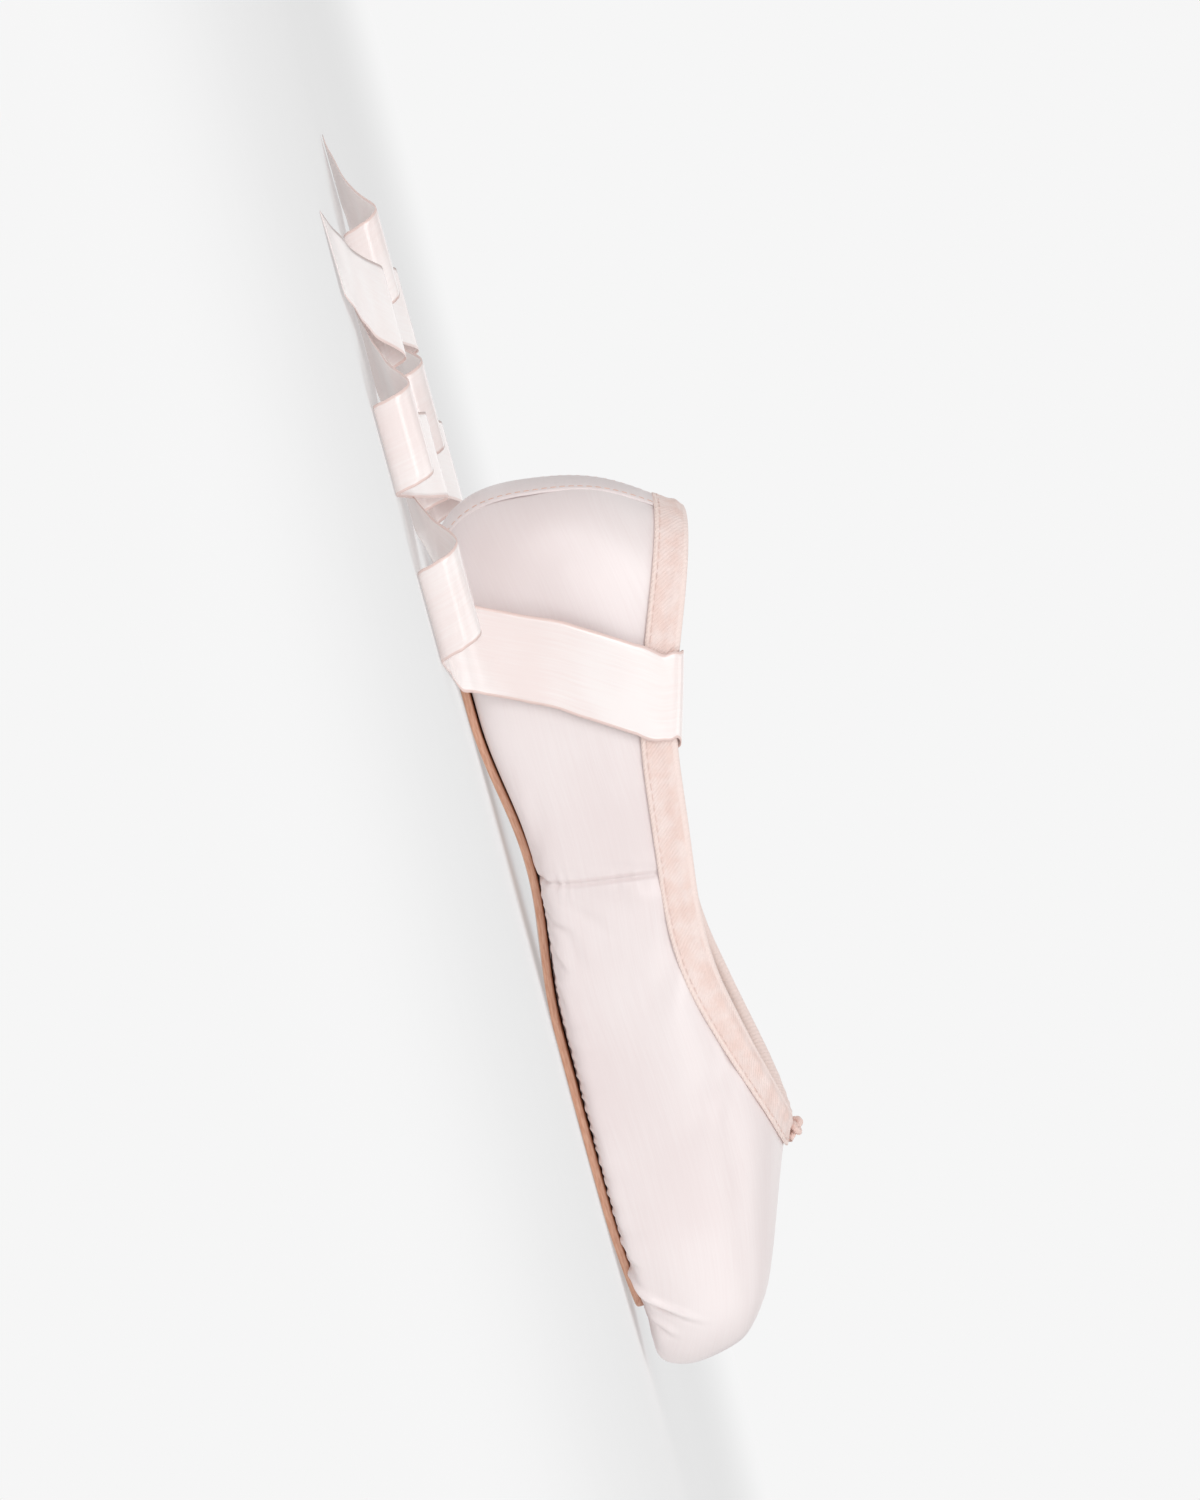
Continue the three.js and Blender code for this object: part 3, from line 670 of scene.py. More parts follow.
def edge_lift(points, v, u, rim):
    """How far the satin is lifted off the sole near its edge: up between its small tucks and in the
    long gap by the side seam, and down on the crests."""
    rail = edge_rail(u)[:, None]
    out = np.hypot(points[..., 0] - rail[..., 0], points[..., 1] - rail[..., 1])
    x = points[..., 0]
    front = front_of_seam(x) * (1 - smooth(0.34, 0.44, v))
    teeth = np.sin(rim * 2 * np.pi / TOOTH + 0.7 * np.sin(rim * 0.9))
    inside = smooth(1.5, 3.5, out) * (1 - smooth(5.5, 8.5, out))
    outside = smooth(5.1, 5.7, out) * (1 - smooth(6.5, 9, out))
    gap = smooth(96, 108, x) * (1 - smooth(136, 156, x))
    raised = inside * front * (0.12 - 0.3 * np.minimum(teeth, 0) + 0.4 * gap)
    return raised - outside * front * 0.5 * np.maximum(teeth, 0) ** 0.7


def ripples(points, seed, height, sizes):
    """Slow, uneven waves in the cloth, the same on each run."""
    chance = random.Random(seed)
    relief = np.zeros(points.shape[:-1])
    for size in sizes:
        direction = unit(np.array([chance.gauss(0, 1) for _ in range(3)]))
        relief += np.sin(points @ direction * 2 * math.pi / size + chance.uniform(0, 2 * math.pi))
    return height * relief / len(sizes)


def upper_grid():
    """The outside of the upper with its relief: points, normals, and millimetres round and up."""
    v = np.linspace(0, 1, UP_COUNT)
    grid_u, grid_v = np.meshgrid(U, v, indexing="ij")
    points = last(grid_u, grid_v)
    normals = outward(grid_u, grid_v)
    steps = np.linalg.norm(np.diff(points, axis=1), axis=-1)
    up = np.concatenate([np.zeros((len(U), 1)), np.cumsum(steps, 1)], 1)
    round_mm = distances(points[:, RIM_COLUMN], closed=True)
    relief = ripples(points, 4, 0.5, (19, 27, 34, 44, 61)) * smooth(0.1, 0.3, grid_v)
    relief += seam_relief(points, grid_v) + edge_relief(points, grid_v, round_mm[:-1, None])
    relief += pleat_relief(points, grid_v)
    for fold in FOLDS:
        relief += fold_relief(points, normals, dict(zip(FOLD_COLUMNS, fold)))
    tucked = smooth(0, 0.04, grid_v) * (1 - smooth(0.95, 1, grid_v))
    lift = edge_lift(points, grid_v, U, round_mm[:-1, None])
    points = points + normals * (relief * tucked)[..., None]
    points[..., 2] += lift
    return points, up, round_mm


def make_upper():
    outer, up, round_mm = upper_grid()
    v = np.linspace(1, 0, INSIDE_COUNT)
    grid_u, grid_v = np.meshgrid(U, v, indexing="ij")
    plain = last(grid_u, grid_v)
    inner = offset(grid_u, grid_v, -wall(plain[..., 0]))
    points = np.concatenate([outer, inner], 1)
    columns = points.shape[1]
    depth = np.concatenate([up, up[:, -1:] * v], 1)
    uv = np.zeros((len(U) + 1, columns + 1, 2))
    uv[..., 0] = round_mm[:, None]
    uv[:-1, :-1, 1] = depth
    uv[-1, :-1, 1] = depth[0]
    uv[:, -1, 1] = 0
    faces, corners = grid(points, wrap_rows=True, wrap_columns=True, uv=uv, flip=True)
    column = np.tile(np.arange(columns), len(U))
    slots = (column >= UP_COUNT - 1).astype(int)
    obj = mesh_object("upper_satin", points.reshape(-1, 3), faces, [SATIN, LINING], slots, corners)
    return rides(obj, "satin", "upper")


# ---- the binding

BINDING_HALF = 18  # steps across the tape's outer face
STITCH_DROP = 7.2  # the tape's stitching, below the collar's edge
TURNED_IN = 8.3  # below this the tape's own edge is turned in a little
UNDER_DROPS = (8.5, 4.5, 0.5)  # its rings next to the upper


def make_binding():
    """The tape, folded over the collar edge round the drawstring."""
    u = U
    thick = wall(last(u, 1)[:, 0])
    over_edge = unit(last(u, 1) - last(u, 1 - 1e-3))
    normals = outward(u, 1)
    round_mm = distances(last(u, 1), closed=True)
    along = round_mm[:-1]
    throat = smooth(0.62, 0.78, share_along(last(u, 1)[:, 0]))
    far = TAPE_GAP + TAPE_THICK
    rings = []
    across = []

    def cloth(drop):
        """The tape's own unevenness at a drop below the collar's edge."""
        gathers = np.sin(along * 2 * np.pi / 5.2 + 1.4 * np.sin(along * 0.31) + drop * 0.25)
        string = 0.55 * bell(drop - 2.4, 1.3)
        stitched = -0.16 * bell(drop - STITCH_DROP, 0.45)
        return string + stitched + gathers * (0.05 + 0.09 * throat)

    outer_drops = BINDING_WIDTH * (1 - np.linspace(0, 1, BINDING_HALF) ** 0.85)
    for drop in outer_drops:
        rings.append(offset(u, down(u, drop), far - 0.15 * (drop > TURNED_IN) + cloth(drop)))
        across.append(drop)
    for degrees in (20, 55, 90, 125, 160):
        turn = math.radians(degrees)
        out = (math.cos(turn) * (thick / 2 + far * 0.9)) - thick / 2
        height = math.sin(turn) * (far + 0.25)
        rings.append(last(u, 1) + normals * out[:, None] + over_edge * height)
        across.append(0)
    inner_drops = BINDING_WIDTH * np.linspace(0.04, 1, 10)
    for drop in inner_drops:
        v = down(u, drop)
        rings.append(offset(u, v, -wall(last(u, v)[:, 0]) - far - 0.4 * cloth(drop)))
        across.append(drop)
    near = TAPE_GAP
    for drop in UNDER_DROPS:
        v = down(u, drop)
        rings.append(offset(u, v, -wall(last(u, v)[:, 0]) - near))
        across.append(drop)
    rings.append(last(u, 1) - normals * (thick + near)[:, None] + over_edge * near)
    rings.append(last(u, 1) + normals * near + over_edge * near)
    across += [0, 0]
    for drop in UNDER_DROPS[::-1]:
        rings.append(offset(u, down(u, drop), near))
        across.append(drop)
    points = np.stack(rings, 1)
    uv = np.zeros((len(u) + 1, len(across) + 1, 2))
    uv[..., 0] = round_mm[:, None]
    uv[..., 1] = np.array(across + [BINDING_WIDTH])
    faces, corners = grid(points, wrap_rows=True, wrap_columns=True, uv=uv, flip=True)
    obj = mesh_object("binding_tape", points.reshape(-1, 3), faces, [TAPE], None, corners)
    return rides(obj, "cotton_tape", "binding")


# ---- the outsole

SOLE_COUNT = 480
SOLE_ACROSS = 18


def sole_outline(u, lap):
    """The sole's outline, a lap outside the upper's turned-in edge: x and y."""
    p = edge_rail(u)
    along = unit(edge_rail(u + 1e-3) - edge_rail(u - 1e-3))
    return np.stack([p[:, 0] - along[:, 1] * lap, p[:, 1] + along[:, 0] * lap], 1)


def even_samples(count):
    """Values of u evenly spaced along the sole's outline, alike on both sides."""
    u = np.linspace(0, 0.5, 2001)
    outline = sole_outline(u, SOLE_LAP)
    total = distances(outline)
    half = np.interp(np.linspace(0, total[-1], count // 2 + 1), total, u)
    return np.concatenate([half, 1 - half[-2:0:-1]])


def make_outsole():
    """A thin leather sole: skived to a pale rim underneath, cut square and dyed at its edge."""
    u = even_samples(SOLE_COUNT)
    # how far in from the edge, height above the sole's underside, and wear of the outline
    profile = [
        (5.2, SOLE_THICK + 0.24), (3.0, SOLE_THICK), (1.2, SOLE_THICK - 0.02), (0.35, SOLE_THICK - 0.1),
        (0.05, SOLE_THICK - 0.4), (0.0, SOLE_THICK * 0.6), (0.0, SOLE_THICK * 0.4), (0.12, 0.45),
        (0.4, 0.2), (0.9, 0.06), (1.8, 0.02), (3.2, 0.0), (5.2, 0.0),
    ]
    along = distances(sole_outline(u, SOLE_LAP), closed=True)
    cut = 0.1 * np.sin(along[:-1] * 2 * np.pi / 17) + 0.06 * np.sin(along[:-1] * 2 * np.pi / 7.3)
    rings = []
    for inset, height in profile:
        lap = SOLE_LAP - inset - (0.12 + cut) * (inset < 1.5)
        ring = sole_outline(u, 0)
        out = sole_outline(u, 1) - ring
        ring = ring + out * np.broadcast_to(lap, u.shape)[:, None]
        # near the ends a deep inset would pass the middle line
        ring[:, 1] = np.where(u < 0.5, np.maximum(ring[:, 1], 0), np.minimum(ring[:, 1], 0))
        z = sole_bottom(ring[:, 0]) + height
        rings.append(np.column_stack([ring, z]))
    points = np.stack(rings, 1)
    uv = np.zeros((len(u) + 1, len(profile), 2))
    uv[..., 0] = along[:, None]
    uv[..., 1] = [height for inset, height in profile]
    faces, corners = grid(points, wrap_rows=True, uv=uv)
    columns = len(profile)
    column = np.tile(np.arange(columns - 1), len(u))
    slots = list(np.where(column >= 8, 1, 0))
    verts = list(points.reshape(-1, 3))
    corners = list(corners)

    def fill(ring_index, downward):
        """Fills one face of the sole with strips across it, from the ring on the left to the right.
        The bottom is mapped by its place on the sole."""
        half = SOLE_COUNT // 2
        rows = []
        for i in range(half + 1):
            left = i * columns + ring_index
            right = ((SOLE_COUNT - i) % SOLE_COUNT) * columns + ring_index
            if i in (0, half):
                rows.append([left] * (SOLE_ACROSS + 1))
                continue
            row = [left]
            a, b = verts[left], verts[right]
            for k in range(1, SOLE_ACROSS):
                verts.append(a + (b - a) * k / SOLE_ACROSS)
                row.append(len(verts) - 1)
            rows.append(row + [right])
        for upper, lower in zip(rows, rows[1:]):
            for k in range(SOLE_ACROSS):
                face = [upper[k], upper[k + 1], lower[k + 1], lower[k]]
                face = list(dict.fromkeys(face))
                if downward:
                    face = face[::-1]
                faces.append(face)
                slots.append(2 if downward else 0)
                for index in face:
                    # the top face sits at the sole's full height, inside the edge's painted-shade band
                    corners.append(verts[index][:2] if downward else np.array([verts[index][0], SOLE_THICK]))

    fill(columns - 1, True)
    fill(0, False)
    obj = mesh_object("outsole_leather", verts, faces, [SOLE_EDGE, SUEDE_RIM, SUEDE], slots, corners)
    return rides(obj, "sole_leather", "outsole")


# ---- the insole

INSOLE_WELL = 1.0
INSOLE_WELL_ENDS = 3.0
INSOLE_TOP = 2 / 12  # how far up the section the board's rim reaches


def make_insole():
    """The board and its cotton sock, filling the well between the upper's turned-in edges."""
    half_u = even_samples(SOLE_COUNT // 2)[: SOLE_COUNT // 4 + 1]

    def inside(v):
        plain = last(half_u, v)
        p = offset(half_u, v, -wall(plain[:, 0]) - GAP)
        p[:, 1] = np.maximum(0, p[:, 1])
        return p

    foot = inside(0)
    rim = [inside(INSOLE_TOP * t) for t in (1, 0.8, 0.6, 0.4, 0.2, 0)]
    well = sole_outline(half_u, -INSOLE_WELL)
    well[:, 1] = np.maximum(0, well[:, 1])
    deep = sole_bottom(well[:, 0]) + SOLE_THICK + GAP
    depth = (foot[:, 2] - deep) * smooth(0, INSOLE_WELL_ENDS, well[:, 1])
    side = rim + [np.column_stack([well, foot[:, 2]]), np.column_stack([well, foot[:, 2] - depth])]
    mirrored = [points * [1, -1, 1] for points in reversed(side)]
    top_left, top_right = rim[0], rim[0] * [1, -1, 1]
    shares = np.linspace(0, 1, 18)[1:-1]
    dish = 0.9 * np.sin(np.pi * shares)
    top = [
        top_right + (top_left - top_right) * s - [0, 0, 1] * np.minimum(d, top_left[:, 1:2] * 0.06)
        for s, d in zip(shares, dish)
    ]
    rings = np.stack(side + mirrored + top, 1)
    uv = np.zeros((rings.shape[0], rings.shape[1] + 1, 2))
    uv[:, :-1] = rings[..., :2]
    uv[:, -1] = rings[:, 0, :2]
    faces, corners = grid(rings, wrap_columns=True, uv=uv)
    obj = mesh_object("insole_sock", rings.reshape(-1, 3), faces, [LINING], None, corners)
    tidy(obj)
    return rides(obj, "insole_lining", "insole")


def tidy(obj):
    """Merges doubled points, at pinched ends, and makes the faces agree on which side is out."""
    work = bmesh.new()
    work.from_mesh(obj.data)
    bmesh.ops.remove_doubles(work, verts=work.verts, dist=1e-6)
    bmesh.ops.dissolve_degenerate(work, edges=work.edges, dist=1e-7)
    bmesh.ops.recalc_face_normals(work, faces=work.faces)
    work.to_mesh(obj.data)
    work.free()


# ---- the back strip

STRIP_HALF = [(0.0, 8.5), (0.25, 10.5), (0.55, 10.2), (0.8, 7.5), (1.0, 5.5)]  # half width up the heel
STRIP_PROUD = 0.55


def make_back_strip():
    """A strip of satin over the back seam, from the sole to the binding, stitched down each side."""
    v_rows = np.linspace(0.14, float(down(0.0, BINDING_WIDTH * 0.7)), 70)
    u_side = np.linspace(0, 0.12, 400)
    shares = np.linspace(-1, 1, 31)
    half = np.interp(v_rows, [v for v, w in STRIP_HALF], [w for v, w in STRIP_HALF])
    u_grid = np.zeros((len(v_rows), len(shares)))
    for i, v in enumerate(v_rows):
        side = last(u_side, v)
        run = distances(side)
        u_grid[i] = np.sign(shares) * np.interp(np.abs(shares) * half[i], run, u_side)
    v_grid = np.repeat(v_rows[:, None], len(shares), 1)
    rim = np.abs(shares)
    stitched = bell(rim - 0.84, 0.05)
    proud = STRIP_PROUD * (1 - smooth(0.93, 1.0, rim)) - 0.14 * stitched
    seam = -0.12 * bell(shares, 0.06)
    height = proud + seam + np.zeros_like(u_grid)
    u_wrapped = u_grid % 1
    front = last(u_wrapped, v_grid) + outward(u_wrapped, v_grid) * (0.08 + height)[..., None]
    back = last(u_wrapped, v_grid) + outward(u_wrapped, v_grid) * 0.02
    rings = np.concatenate([front, back[:, ::-1]], 1)
    uv = np.zeros((rings.shape[0], rings.shape[1] + 1, 2))
    uv[..., 1] = (v_rows * 80)[:, None]
    uv[:, : len(shares), 0] = shares * 6
    uv[:, len(shares) : -1, 0] = shares[::-1] * 6
    uv[:, -1, 0] = -6
    faces, corners = grid(rings, wrap_columns=True, uv=uv)
    obj = mesh_object("back_strip", rings.reshape(-1, 3), faces, [SATIN], None, corners)
    tidy(obj)
    rides(obj, "satin")
    lines = []
    for share in (-0.84, 0.84):
        u_line = np.array([np.interp(share, shares, row) % 1 for row in u_grid])
        lines.append((offset(u_line, v_rows, STRIP_PROUD - 0.02), outward(u_line, v_rows)))
    return stitch_rows("back_strip_stitches", lines, 1.7, 0.6, 0.16, PEACH_THREAD, "satin")


# ---- stitches


def stitch_rows(name, lines, stitch, gap, radius, material, slot):
    """Joined short stitches along lines, each a pair of points and outward normals."""
    verts, faces = [], []
    sides = 6
    bow = [(-0.5, 0.35), (-0.36, 0.9), (-0.12, 1.0), (0.12, 1.0), (0.36, 0.9), (0.5, 0.35)]
    for points, normals in lines:
        run = distances(points)
        count = int(run[-1] / (stitch + gap))
        for k in range(count):
            middle = (k + 0.5) * (stitch + gap)
            rings = []
            for where, fat in bow:
                at = middle + where * stitch
                p = np.array([np.interp(at, run, points[:, c]) for c in range(3)])
                n = unit(np.array([np.interp(at, run, normals[:, c]) for c in range(3)]))
                ahead = np.array([np.interp(at + 0.2, run, points[:, c]) for c in range(3)])
                t = unit(ahead - p + 1e-9)
                b = np.cross(t, n)
                sink = radius * (0.9 - fat)
                turn = np.arange(sides) * 2 * np.pi / sides
                circle = np.cos(turn)[:, None] * b + np.sin(turn)[:, None] * n
                rings.append(p - n * sink + circle * radius * fat)
            start = len(verts)
            verts += [point for ring in rings for point in ring]
            for i in range(len(rings) - 1):
                for j in range(sides):
                    a, b2 = start + i * sides + j, start + i * sides + (j + 1) % sides
                    faces.append([a, b2, b2 + sides, a + sides])
            faces.append([start + j for j in range(sides)][::-1])
            end = start + (len(rings) - 1) * sides
            faces.append([end + j for j in range(sides)])
    obj = mesh_object(name, verts, faces, [material])
    return rides(obj, slot)


def make_binding_stitches():
    u = np.linspace(0, 1, 900)
    v = down(u, STITCH_DROP)
    points = offset(u, v, TAPE_GAP + TAPE_THICK - 0.02)
    return stitch_rows(
        "binding_stitches", [(points, outward(u, v))], 2.0, 0.7, 0.13, TAPE_THREAD, "cotton_tape"
    )


# ---- tubes, for the drawstring's knot


def tube(points, radius, sides=12, twist=0.0):
    """Points and faces of a closed tube along points, with its radius at each and a rope's lay."""
    points = np.asarray(points, float)
    radius = np.broadcast_to(radius, len(points))
    tangents = unit(np.gradient(points, axis=0))
    normal = unit(np.cross(tangents[0], [0.3, 0.2, 0.93]))
    run = distances(points)
    verts = []
    for p, t, r, s in zip(points, tangents, radius, run):
        normal = unit(normal - t * (normal @ t))
        b = np.cross(t, normal)
        turn = np.arange(sides) * 2 * np.pi / sides
        lobes = 1 + 0.17 * np.cos(3 * (turn + s * twist))
        verts.append(p + (np.cos(turn)[:, None] * normal + np.sin(turn)[:, None] * b) * (r * lobes)[:, None])
    verts = np.array(verts)
    faces, _ = grid(verts, wrap_columns=True)
    faces.append(list(range(sides))[::-1])
    end = (len(points) - 1) * sides
    faces.append([end + j for j in range(sides)])
    return verts.reshape(-1, 3), [face[::-1] for face in faces]


KNOT_HIGH = 1.8  # half its height
KNOT_LIFT = TAPE_GAP + TAPE_THICK + KNOT_HIGH - GAP  # it sinks a little into the tape


def make_knot():
    """An overhand knot in the drawstring at the throat: the cord comes up out of the tape into it, and
    its two short ends are tucked down beside it."""
    drop = BINDING_WIDTH * 0.45
    v = down(0.5, drop)
    out = outward(0.5, v)
    up, low = last(0.5, v + 0.02), last(0.5, v - 0.02)
    towards_toe = unit(low - up)
    across = np.cross(out, towards_toe)
    middle = offset(0.5, v, KNOT_LIFT)
    t = np.linspace(0, 2 * np.pi, 90)
    loop = np.stack([
        (np.sin(t) + 2 * np.sin(2 * t)) / 3 * 1.9,
        (np.cos(t) - 2 * np.cos(2 * t)) / 3 * 2.5,
        -np.sin(3 * t) * 0.85,
    ], 1)
    s = np.linspace(0, 1, 24)[:, None]
    ends = []
    for side in (-1, 1):
        start = np.array([0.8, side * 0.8, -0.2])
        bend = np.array([2.2, side * 2.0, -0.6])
        tip = np.array([2.9, side * (3.4 + 0.3 * side), -1.4])
        ends.append((1 - s) ** 2 * start + 2 * s * (1 - s) * bend + s**2 * tip)
    neck = np.array([-1.4, 0, -2.2]) + s * np.array([1.8, 0, 1.8])
    basis = np.array([towards_toe, across, out])
    verts, faces = np.zeros((0, 3)), []
    for line, radius, frayed in ((loop, 0.85, 0), (neck, 0.75, 0), (ends[0], 0.7, 1), (ends[1], 0.7, 1)):
        widths = np.full(len(line), radius)
        widths[-3:] *= 1 + frayed * np.array([0.1, 0.25, 0.1])
        points, quads = tube(line, widths, 12, 2.2)
        faces += [[i + len(verts) for i in face] for face in quads]
        verts = np.concatenate([verts, points @ basis + middle])
    obj = mesh_object("drawstring_knot_cord", verts, faces, [CORD])
    return rides(obj, "cotton_tape", "drawstring_knot")


# ---- the ribbons

RIBBON_AT = 0.147
RIBBON_SLANT = 0.5
RIBBON_CLEAR = 0.7
RIBBON_CHORD = 1.2
ROUND_LENGTH = 660.0
RIBBON_BEND = 7.0
RIBBON_LIFT = 0.45  # lower than the CAD strip's, so that the cloth meets the floor
RIBBON_THICK = 0.32
RIBBON_LOWEST = 0.1  # its underside above the floor

RIBBON_INSIDE = [-24, -16, -9, -3]
RIBBON_FOLD = [-70, -35, 0, 35, 70]
RIBBON_OUTSIDE = [3, 10, 17, 24, 31]

# Its corners on the floor, in the row frame's millimetres, and the radius of its fold at each.
LEFT_ROUTE = [(-108, 99, 5), (-137, 22, 5.5), (-151, 104, 4.5), (-177, 27, 5), (-196, 86, 0)]
RIGHT_ROUTE = [(-111, -103, 5.5), (-133, -25, 5), (-152, -98, 5), (-169, -20, 4.5), (-199, -84, 0)]
FOLD_TURN = [0, 45, 90, 135, 180]  # degrees round a fold
FOLD_SINK = [0.5, 0.2]  # its top run's height, a third and two thirds of the way to the floor


def ribbon_on_shoe(side):
    """Rows of (middle, line across): inside the quarter, over the collar and down the outside."""

    def round_at(run):
        u = RIBBON_AT - run * RIBBON_SLANT / ROUND_LENGTH
        return u if side > 0 else 1 - u

    clear = TAPE_GAP + TAPE_THICK + RIBBON_CLEAR
    thick = float(wall(last(round_at(0), 1)[0]))

    def across(run, v):
        return unit(last(round_at(run + 2), v) - last(round_at(run - 2), v))

    def beside(run, by):
        v = down(round_at(run), abs(run))
        return offset(round_at(run), v, by), across(run, v)

    def over(degrees):
        lean = math.radians(degrees)
        run = math.sin(lean) * (thick / 2 + clear + RIBBON_CHORD / 2)
        height = math.cos(lean) * (clear + RIBBON_CHORD)
        upwards = unit(last(round_at(0), 1) - last(round_at(0), 0.99))
        return offset(round_at(run), 1, run - thick / 2) + upwards * height, across(run, 1)

    rows = [beside(run, -thick - clear - RIBBON_CHORD) for run in RIBBON_INSIDE]
    rows += [over(degrees) for degrees in RIBBON_FOLD]
    return rows + [beside(run, clear + RIBBON_CHORD / 2) for run in RIBBON_OUTSIDE]


def ribbon_to_floor(side, start):
    """It hangs free from the widest part of the quarter, and bends outwards onto the floor."""
    low = RIBBON_LIFT + RIBBON_BEND
    drop = start[2] - low

    def row(run, out, z):
        return np.array([start[0] - run * RIBBON_SLANT, start[1] + side * out, z]), np.array([-1.0, 0, 0])

    rows = [row(drop / 2, 0, low + drop / 2)]
    for degrees in (10, 50, 90):
        turn = math.radians(degrees)
        out = RIBBON_BEND * (1 - math.cos(turn))
        rows.append(row(drop + turn * RIBBON_BEND, out, low - RIBBON_BEND * math.sin(turn)))
    return rows


def ribbon_over_floor(start, route):
    """Straight runs from corner to corner: rows of (middle, line across, share of slack). A fold wraps
    the ribbon half round a level line, which halves the angle between the runs that it joins."""
    corners = [np.array([start[0], start[1], 0.0])]
    corners += [np.array([x + LENGTH / 2, y, 0.0]) for x, y, _ in route]
    rows = []
    above = 0.0
    left = start
    for i in range(1, len(corners)):
        along = unit(corners[i] - corners[i - 1])
        square = np.array([-along[1], along[0], 0])
        radius = route[i - 1][2]
        turned = []
        if radius:
            crease = unit(along + unit(corners[i + 1] - corners[i]))
            out = unit(along - crease * (along @ crease))
            advance = (along @ crease) / (along @ out)
            for degrees in FOLD_TURN:
                turn = math.radians(degrees)
                point = corners[i] + crease * (advance * radius * (turn - math.pi / 2))
                point = point + out * (radius * (math.sin(turn) - 1))
                point[2] = RIBBON_LIFT + radius * (1 - math.cos(turn))
                turned.append((point, crease, 0.0))
        else:
            turned.append((corners[i] + [0, 0, RIBBON_LIFT], square, 1.0))
        for k, sink in enumerate(FOLD_SINK):
            point = left + (turned[0][0] - left) * (k + 1) / 3
            point[2] = RIBBON_LIFT + above * sink
            rows.append((point, square, 1.0))
        rows += turned
        left = turned[-1][0]
        above = 2.0 * radius
    return rows


def catmull(points, t):
    """A centripetal Catmull-Rom curve through points, at t from 0 to 1 by row."""
    last_row = len(points) - 1
    place = min(max(t, 0), 1) * last_row
    i = min(int(place), last_row - 1)
    f = place - i
    p1, p2 = points[i], points[i + 1]
    p0 = points[i - 1] if i > 0 else 2 * points[0] - points[1]
    p3 = points[i + 2] if i + 2 <= last_row else 2 * points[-1] - points[-2]
    gaps = [float(np.sum((b - a) ** 2)) ** 0.25 for a, b in ((p0, p1), (p1, p2), (p2, p3))]
    d1 = gaps[1] if gaps[1] > 1e-4 else 1.0
    d0 = gaps[0] if gaps[0] > 1e-4 else d1
    d2 = gaps[2] if gaps[2] > 1e-4 else d1
    t1 = ((p1 - p0) / d0 - (p2 - p0) / (d0 + d1) + (p2 - p1) / d1) * d1
    t2 = ((p2 - p1) / d1 - (p3 - p1) / (d1 + d2) + (p3 - p2) / d2) * d1
    a2 = -3 * p1 + 3 * p2 - 2 * t1 - t2
    a3 = 2 * p1 - 2 * p2 + t1 + t2
    return p1 + t1 * f + a2 * f**2 + a3 * f**3


RIBBON_STEPS = 9  # stations for each row of the route
RIBBON_ACROSS = 16


def make_ribbon(name, side, route):
    on_shoe = ribbon_on_shoe(side)
    placed = on_shoe + ribbon_to_floor(side, on_shoe[-1][0])
    rows = [(point, across, 0.0) for point, across in placed]
    rows += ribbon_over_floor(placed[-1][0], route)
    middle = [row[0] for row in rows]
    slack = [np.array([row[2]]) for row in rows]
    count = len(rows) - 1
    lines = [rows[0][1]]
    for row in rows[1:]:
        lines.append(row[1] * (-1 if row[1] @ lines[-1] < 0 else 1))

    def tangent(t):
        return unit(catmull(middle, min(1, t + 1e-4)) - catmull(middle, max(0, t - 1e-4)))

    shares = np.linspace(-1, 1, RIBBON_ACROSS + 1)
    stations = np.linspace(0, 1, count * RIBBON_STEPS + 1)
    centres = np.array([catmull(middle, t) for t in stations])
    run = distances(centres)
    chance = random.Random(31 + side)
    phases = [chance.uniform(0, 2 * math.pi) for _ in range(6)]
    rings = []
    for k, t in enumerate(stations):
        along = tangent(t)
        wide = unit(catmull(lines, t))
        square = np.linalg.norm(np.cross(wide, along))
        face = unit(np.cross(wide, along))
        s = run[k]
        free = float(catmull(slack, t)[0])
        curl = 0.6 * math.sin(s / 23 + phases[0]) + 0.4 * math.sin(s / 11 + phases[1])
        lean = 0.4 * math.sin(s / 17 + phases[2])
        bulge = curl * (shares**2 - 0.35) + lean * shares
        bulge = bulge + 0.12 * np.sin(s / 3.4 + phases[3] + shares * 1.5) * np.abs(shares)
        bulge = bulge * (0.12 + 0.88 * free)
        base = centres[k] + np.outer(shares, wide * RIBBON_WIDTH / 2 / square) + np.outer(bulge, face)
        edge = RIBBON_THICK / 2 * (1 - 0.45 * smooth(0.93, 1, np.abs(shares)))
        top, under = base + np.outer(edge, face), base - np.outer(edge, face)
        ring = np.concatenate([under, top[::-1]])
        ring[:, 2] += max(0.0, RIBBON_LOWEST - ring[:, 2].min())
        rings.append(ring)
    points = np.array(rings)
    uv = np.zeros((points.shape[0], points.shape[1] + 1, 2))
    uv[..., 0] = run[:, None]
    uv[:, : len(shares), 1] = shares * RIBBON_WIDTH / 2
    uv[:, len(shares) : -1, 1] = shares[::-1] * RIBBON_WIDTH / 2
    uv[:, -1, 1] = -RIBBON_WIDTH / 2
    faces, corners = grid(points, wrap_columns=True, uv=uv)
    corners = list(corners)
    size = points.shape[1]
    for start, turned in ((0, True), ((len(rings) - 1) * size, False)):
        for j in range(RIBBON_ACROSS):
            face = [start + j, start + j + 1, start + size - 2 - j, start + size - 1 - j]
            if turned:
                face = face[::-1]
            faces.append(face)
            corners += [(0, 0)] * 4
    obj = mesh_object(name, points.reshape(-1, 3), faces, [RIBBON_SATIN], None, corners)
    tidy(obj)
    rides(obj, "ribbon_satin", name.replace("_satin", ""))
    return obj


# ---- floor, light and camera


def make_floor():
    bpy.ops.mesh.primitive_circle_add(vertices=96, radius=9, fill_type="NGON")
    floor = bpy.context.object
    floor.name = "floor"
    floor.data.materials.append(floor_material())


LIGHT_TARGET = (0, 0, 0.03)
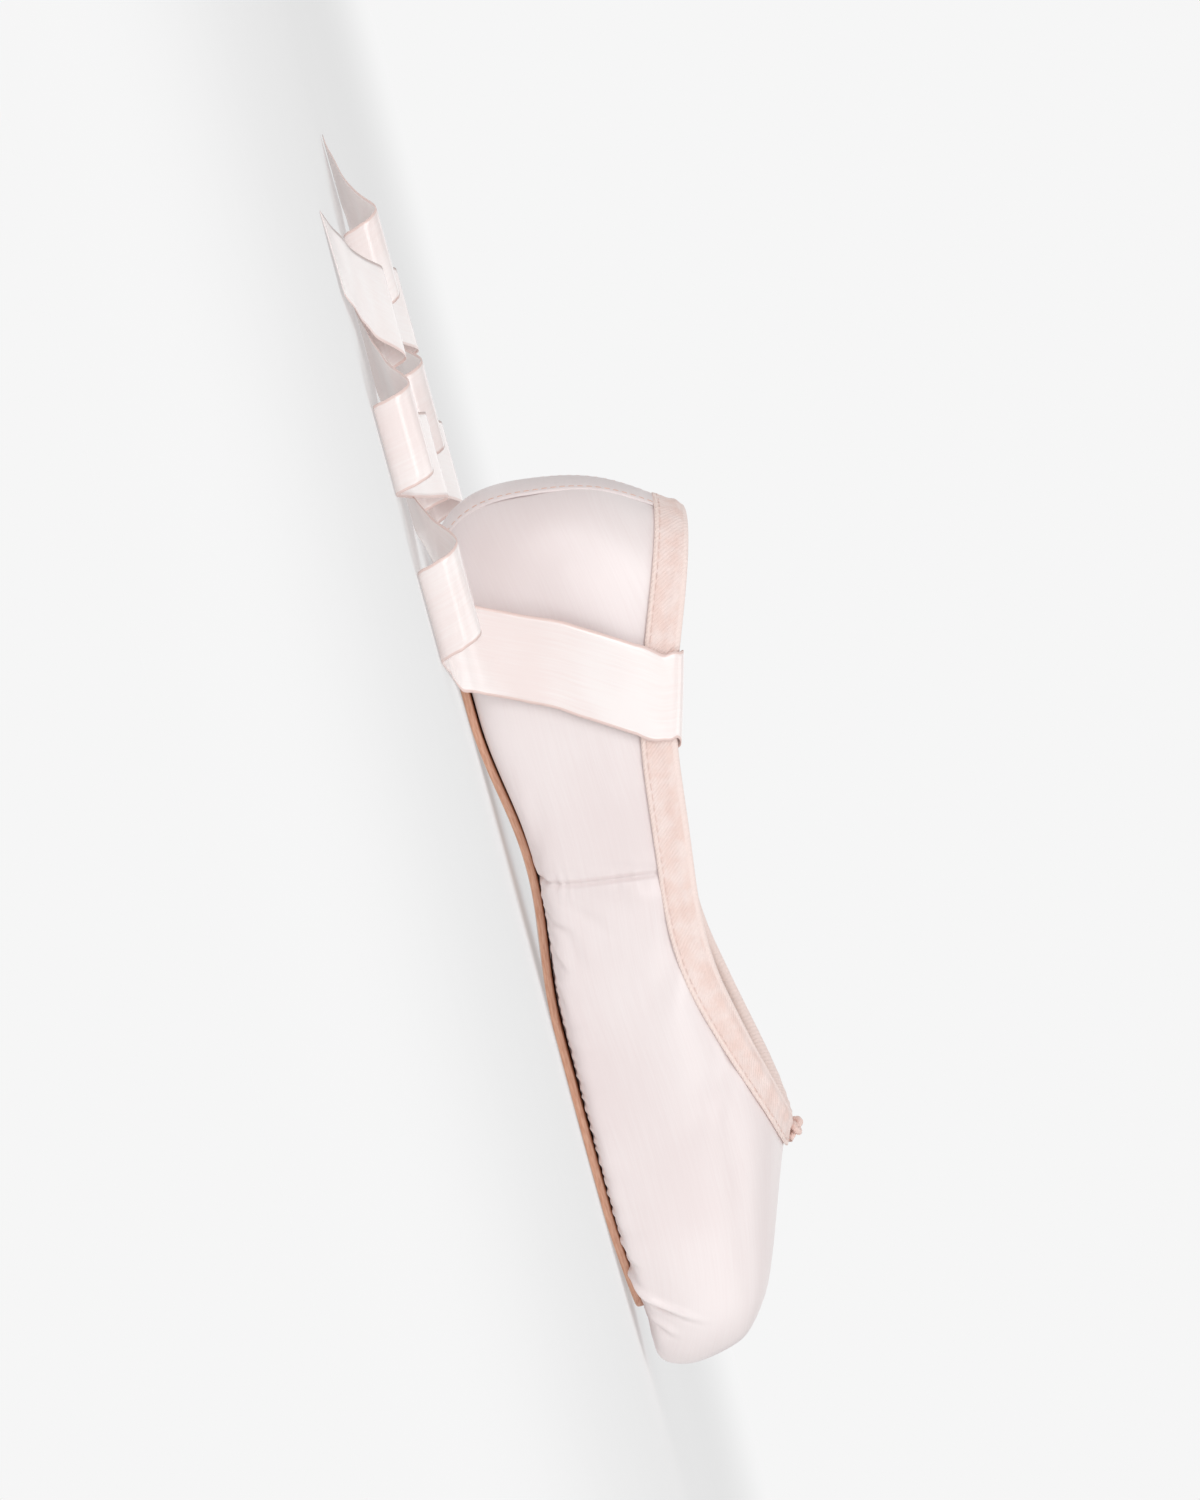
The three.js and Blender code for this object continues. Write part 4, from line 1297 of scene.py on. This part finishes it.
# The lights' names, places and sizes in metres, and powers in watts.
LIGHTS = [
    ("key", (-0.5, -1.7, 0.95), (1.5, 0.8), 9),
    ("heel", (-1.5, -1.4, 0.5), (0.9, 0.9), 5),
    ("toe", (1.5, -1.3, 0.4), (1.4, 1.4), 7),
    ("back", (0.6, 1.9, 0.9), (1.6, 1.6), 4),
    ("top", (0.7, -0.4, 1.7), (1.3, 1.3), 5),
]


def area_light(name, place, size, power):
    light = bpy.data.lights.new(name, "AREA")
    light.shape = "ELLIPSE"
    light.size, light.size_y = size
    light.energy = power
    obj = bpy.data.objects.new(name, light)
    obj.location = place
    obj.rotation_euler = (Vector(LIGHT_TARGET) - Vector(place)).to_track_quat("-Z", "Y").to_euler()
    bpy.context.scene.collection.objects.link(obj)


def make_world():
    """The camera sees the backdrop; the shoe is lit by a dimmer, even light."""
    world = bpy.data.worlds.new("backdrop")
    world.use_nodes = True
    tree = world.node_tree
    seen = tree.nodes["Background"]
    seen.inputs["Color"].default_value = BACKDROP
    ambient = add(tree, "Background", {"Color": (1, 1, 1, 1), "Strength": AMBIENT})
    chosen = add(tree, "MixShader", {"Fac": add(tree, "LightPath", {}).outputs["Is Camera Ray"]})
    tree.links.new(ambient.outputs[0], chosen.inputs[1])
    tree.links.new(seen.outputs[0], chosen.inputs[2])
    tree.links.new(chosen.outputs[0], tree.nodes["World Output"].inputs["Surface"])
    bpy.context.scene.world = world


CAMERA_TARGET = (-0.045, 0.0, 0.03)
CAMERA_DISTANCE = 2.0
CAMERA_SIDE = 12.0  # degrees from square to the shoe's right side, towards the heel
CAMERA_HEIGHT = 1.0  # degrees above the floor
CAMERA_ROLL = 75.0  # degrees, so that the toe points down the picture
FRAME_HEIGHT = 0.385  # metres at the shoe


def make_camera():
    side, height = math.radians(CAMERA_SIDE), math.radians(CAMERA_HEIGHT)
    away = Vector((-math.sin(side) * math.cos(height), -math.cos(side) * math.cos(height), math.sin(height)))
    camera = bpy.data.cameras.new("camera")
    camera.lens = 36 * CAMERA_DISTANCE / FRAME_HEIGHT
    obj = bpy.data.objects.new("camera", camera)
    obj.location = Vector(CAMERA_TARGET) + away * CAMERA_DISTANCE
    level = (-away).to_track_quat("-Z", "Y").to_matrix()
    obj.rotation_euler = (level @ Matrix.Rotation(math.radians(CAMERA_ROLL), 3, "Z")).to_euler()
    bpy.context.scene.collection.objects.link(obj)
    bpy.context.scene.camera = obj


# ---- the shoe

make_upper()
make_binding()
make_binding_stitches()
make_back_strip()
make_outsole()
make_insole()
make_knot()
make_ribbon("ribbon_left_satin", 1, LEFT_ROUTE)
make_ribbon("ribbon_right_satin", -1, RIGHT_ROUTE)

make_floor()
make_world()
for light in LIGHTS:
    area_light(*light)
make_camera()
bpy.context.scene.view_settings.view_transform = "Standard"
